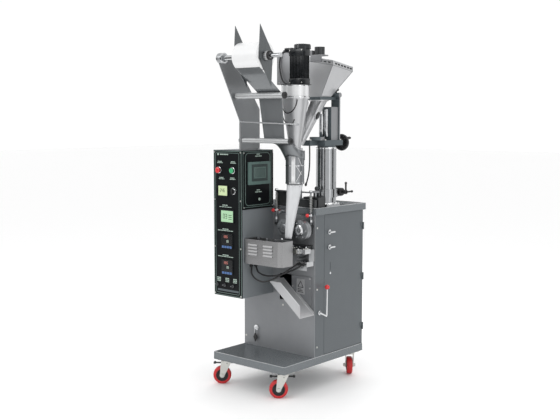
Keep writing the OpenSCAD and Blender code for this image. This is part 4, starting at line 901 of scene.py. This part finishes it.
cx, cy = COLUMN
collar = Part("column_collars")
collar.lathe((cx, cy, LID_TOP + 10), (0, 0, 1), [(0, 50), (0, 54), (4, 54), (8, 50.2), (8, 49.4)], 72)
collar.lathe((cx, cy, 1177), (0, 0, 1), [(0, 49.6), (0, 51), (6, 51), (7.6, 49.6)], 72)
for sx in (-42, 42):
    for sy in (-42, 42):
        collar.hexagon((cx + sx, cy + sy, LID_TOP + 10), (0, 0, 1), 6.5, 5)
collar.done("chrome", "frame", "polished_steel")
wheel = Part("hand_wheel_rim")
wx, wy, wz = cx + 10, 482, 1206
wheel.lathe((wx, wy, wz), (0, 1, 0), [(-6, 31), (-8, 34), (-7, 40), (0, 42), (7, 40), (8, 34), (6, 31),
            (0, 29.5)], 64, close=True)
wheel.rod((wx, wy - 62, wz), (wx, wy + 8, wz), 6, 24, 1)
wheel.lathe((wx, wy - 7, wz), (0, 1, 0), [(0, 11), (2, 13), (12, 13), (15, 9), (15, 0)], 32)
for k in range(3):
    tip_x, tip_z = around_deg((wx, wz), 36, 40.2 + 120 * k)
    wheel.rod((wx, wy, wz), (tip_x, wy, tip_z), 4.4, 16)
wheel.lathe((wx, wy, wz), (0, 1, 0), [(-2, 6.2), (-1, 20), (-3, 31), (3, 31), (1, 20), (2, 6.2)], 48,
            close=True)
wheel.lathe((cx + 36, wy + 2, 1228), (0, 1, 0), [(0, 3), (3, 4), (5, 6), (24, 7), (32, 6), (34, 3)], 24)
wheel.done("black", "hand_wheel", "black_motor", replaces=["hand_wheel"])
crank = Part("crank_arms")
kx, ky, kz = cx + 64, cy + 76, LID_TOP + 66
crank.rod((cx - 28, ky, kz), (kx + 6, ky, kz), 6, 24, 1)
crank.lathe((cx + 30.5, ky, kz), (1, 0, 0), [(0, 17), (2, 19), (12, 19), (14, 17)], 40)
crank.lathe((kx - 8, ky, kz), (1, 0, 0), [(0, 8), (2, 11), (12, 11), (14, 8)], 24)
crank.rod((kx, ky, kz - 8), (kx, ky, kz + 44), 4.5, 16, 1).ball((kx, ky, kz + 44), 6.4)
crank.rod((kx, ky - 8, kz), (kx, ky + 50, kz), 4.5, 16, 1).ball((kx, ky + 50, kz), 6.4)
crank.done("black", "lift_crank", "black_motor", replaces=["lift_crank"])
# two bright rods in front of the lifting post
guides = Part("post_guides")
guides.lathe((cx + 6, cy - 9, 1235), (0, 0, 1), [(0, 9), (2, 10.5), (132, 10.5), (134, 9)], 36)
guides.lathe((cx - 20, cy - 12, 1235), (0, 0, 1), [(0, 12), (2, 13.5), (110, 13.5), (112, 12)], 36)
guides.done("polished", "lift_head", "polished_steel")
hose = Part("head_hose")
hose.tube([(368, 300, 1196), (369, 300, 1150), (368, 300, 1095), (363, 299, 1050), (354, 298, 1018),
           (347, 296, 994)], 3.4, 14)
# it hangs from the lifting head and ends on the lid, so it is attached to neither body
hose = hose.done("rubber", None, "cable_rubber")
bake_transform(hose)
ends = Part("hose_ends")
ends.lathe((347, 296, 997), (0.3, 0, 1), [(0, 6), (8, 6), (10, 4.6), (14, 4.2)], 20)
ends.done("black", "frame", "black_plastic")
knob = Part("post_knob")
knob.lathe((cx + 9, cy + 62, 1450), (0, 0, 1), [(0, 6), (6, 6), (8, 14), (14, 16), (20, 14), (24, 8),
           (25, 0)], 32)
knob.done("black", "lift_head", "black_plastic")
arm_bolts = Part("arm_bolts")
for x, y in ((385, 320), (449, 320), (385, 440), (449, 440), (372, 262), (404, 262)):
    arm_bolts.lathe((x, y, 1219), (0, 0, 1), [(0, 5), (4, 5), (5, 4), (5, 2.4), (3, 2.2)], 20)
arm_bolts.done("zinc", "lift_head", "fastener_zinc")

# ---------- sealing station ----------

for s, name, mat in ((-1, "left", "steel_dull"), (1, "right", "chrome")):
    x = NIP_X + s * CROSS_OFF
    knurl = Part("seal_knurl_" + name)
    for band in (SEAL_Y + 2, SEAL_Y + 18):
        rings = []
        for y, off in ((band, -0.6), (band + 0.6, 0.0), (band + 9.4, 0.0), (band + 10, -0.6)):
            # every second point lies lower, which makes the teeth
            teeth = [around((x, SEAL_Z), SEAL_R + off - 0.5 * (i % 2), a)
                     for i, a in enumerate(turns_of(180))]
            rings.append([(tx, y, tz) for tx, tz in teeth])
        knurl.ring_mesh(rings)
    knurl.done("steel", name + "_seal_roller", "polished_steel")
    cap = Part("seal_cap_" + name)
    cap.lathe((x, SEAL_Y - 9, SEAL_Z), (0, 1, 0), [(0, 14), (0, 22), (1.5, 25), (8.5, 26.4), (10, 26.4),
              (10, 14)], 56, close=True)
    for a in turns_of(6):
        bolt_x, bolt_z = around((x, SEAL_Z), 37, a)
        cap.hexagon((bolt_x, SEAL_Y, bolt_z), (0, -1, 0), 4, 4)
    cap.done(mat, name + "_seal_roller", "polished_steel")
    bore = Part("seal_bore_" + name)
    bore.lathe((x, SEAL_Y - 5, SEAL_Z), (0, 1, 0), [(0, 0), (0, 5), (-3, 6), (-3, 8), (0, 9), (0, 14),
               (5, 14)], 40)
    bore.done("dark", name + "_seal_roller", "dark_paint")
    jaw = Part("cross_fittings_" + name)
    for k in (-1, 1):
        for y in (SEAL_Y - 10, SEAL_Y + 4, SEAL_Y + 18):
            jaw.hexagon((x + k * 34, y, CROSS_Z + 11), (0, 0, 1), 3.4, 3)
    jaw.lathe((x, SEAL_Y - 35, CROSS_Z), (0, 1, 0), [(0, 0), (0, 12), (2, 16.4), (16, 17.4)], 40)
    jaw.done("zinc" if s > 0 else "dark", name + "_cross_seal", "fastener_zinc")
station = Part("station_fittings")
for x in (NIP_X - 62, NIP_X - 20, NIP_X + 20, NIP_X + 62):
    for z in (SEAL_Z - 14, SEAL_Z + 14, CROSS_Z - 13, CROSS_Z + 13):
        station.hexagon((x, 188, z), (0, -1, 0), 4, 3.4)
for x in (230, 446):
    station.hexagon((x, LEVER_Y, 975), (0, 0, 1), 8, 7)
    station.lathe((x, LEVER_Y, 830), (0, 0, 1), [(0, 4), (0, 9), (12, 9), (12, 4)], 24)
station.done("chrome", "frame", "polished_steel")
springs = Part("lever_springs")
turns, steps = 11, 14
for x, z0, z1 in ((230, 886, 962), (446, 874, 962)):
    rise = (z1 - z0) / (steps * turns)
    springs.tube([(*around((x, LEVER_Y), 7, 2 * math.pi * i / steps), z0 + rise * i)
                  for i in range(steps * turns + 1)], 1.1, 8, 1)
springs.done("zinc", "frame", "fastener_zinc")
block = Part("bright_bracket")
block.box((396, 172, 652), (404, 226, 660), 1)
block.box((455, 186, 640), (461, 226, 700), 1.5).box((398, 166, 600), (458, 172, 628), 1.5)
block.rod((262, 190, 866), (262, 206, 866), 8, 28, 1)
block.done("steel", "frame", "polished_steel")
knobs = Part("station_knobs")
for z in (770, 735):
    knobs.rod((300, CAB_Y, z), (300, 180, z), 4, 16)
    knobs.lathe((300, 168, z), (0, 1, 0), [(0, 0), (0, 8), (1.4, 10), (10, 10), (12, 8)], 32)
knobs.done("chrome", "frame", "polished_steel")
inner = Part("cover_inner_parts")
for x in (236, 290, 344):
    inner.box((x, 34, 640), (x + 30, 80, 742), 3)
    inner.rod((x + 15, 57, 740), (x + 15, 57, 756), 7, 24, 1)
inner.done("steel_dull", "frame", "dark_paint")

cables = Part("heater_leads")
cables.tube([(196.4, 60, 614), (202, 60, 613), (206, 57, 604), (214, 48, 578), (240, 44, 556),
             (286, 44, 546), (334, 54, 558), (372, 84, 584), (398, 124, 612), (408, 150, 626),
             (410, 169.8, 630)], 4, 14)
cables.tube([(196.4, 92, 612), (202, 92, 611), (208, 90, 600), (222, 88, 580),
             (262, 88, 568), (312, 92, 570), (362, 104, 584), (408, 128, 604), (436, 150, 624),
             (440, 169.8, 630)], 4, 14)
cables.done("rubber", "frame", "cable_rubber", replaces=["heater_cables"])
glands = Part("lead_glands")
for y, z in ((60, 614), (92, 612)):
    glands.lathe((CTRL_RIGHT, y, z), (1, 0, -0.1), [(0, 8), (5, 8), (6, 6.5), (12, 5.4), (14, 4.2)], 20)
for x in (410, 440):
    glands.lathe((x, 170, 630), (0, -1, 0), [(0, 7.5), (5, 7.5), (6, 6), (12, 4.6)], 20)
glands.done("black", "frame", "black_plastic")

# ---------- cabinet trim, and painted highlights on its edges ---

# thin bright strips along the cabinet's edges: painted highlights where the edges catch the light
edges = Part("cabinet_edge_highlights")
edges.box((-0.2, -0.6, CAB_Z - 1.4), (SIDE_X + 0.2, 0, CAB_Z + 0.4), 0.3)
edges.box((SIDE_X, 0, CAB_Z - 1.4), (SIDE_X + 0.5, 624, CAB_Z + 0.4), 0.2)
edges.box((-8.3, 225.4, LID_TOP - 1.2), (470.3, 226, LID_TOP + 0.3), 0.3)
edges.box((470, 226, LID_TOP - 1.2), (470.5, 632, LID_TOP + 0.3), 0.2)
edges.done("bright", "frame", "cabinet_paint")
screws = Part("sheet_screws")
SCREW_HEAD = [(0, 5), (1.4, 4.6), (2.2, 3), (2.2, 0)]
for x, z in ((12, 210), (12, 420), (12, 640), (12, 840), (262, 402), (352, 402)):
    screws.lathe((x, CAB_Y, z), (0, -1, 0), SCREW_HEAD, 20)
for z in (215, 500, 800):
    screws.lathe((SIDE_X, 245, z), (1, 0, 0), SCREW_HEAD, 20)
screws.done("zinc", "frame", "fastener_zinc")
door = Part("door_slot_fitting")
door.lathe((SIDE_X, 348, 569), (1, 0, 0), [(0, 6), (1.5, 5.5), (2, 3), (2, 0)], 28)
door.done("chrome", "side_door", "polished_steel")
decal = Part("plate_decal")
decal.box((354, 220.4, 472), (404, 221.2, 547), 0.2)
decal.done("hopper", "frame", "instruments", smooth=0)
marks = Part("plate_decal_marks")
for a, b in (((362, 506), (379, 536)), ((379, 536), (396, 506)), ((396, 506), (362, 506))):
    marks.rod((a[0], 220.3, a[1]), (b[0], 220.3, b[1]), 1.3, 8)
for k in range(3):
    marks.box((361, 220.0, 481 + 7 * k), (397 - 6 * k, 220.5, 483.6 + 7 * k))
marks.done("bezel", "frame", "instruments", smooth=0)
ridge = Part("chute_edges")
ridge.rod((268, 219.4, 541), (461, 219.4, 381), 2.0, 12)
ridge.rod((341, 115, 538), (461, 115, 439), 1.6, 12)
ridge.done("bright", "frame", "stainless")
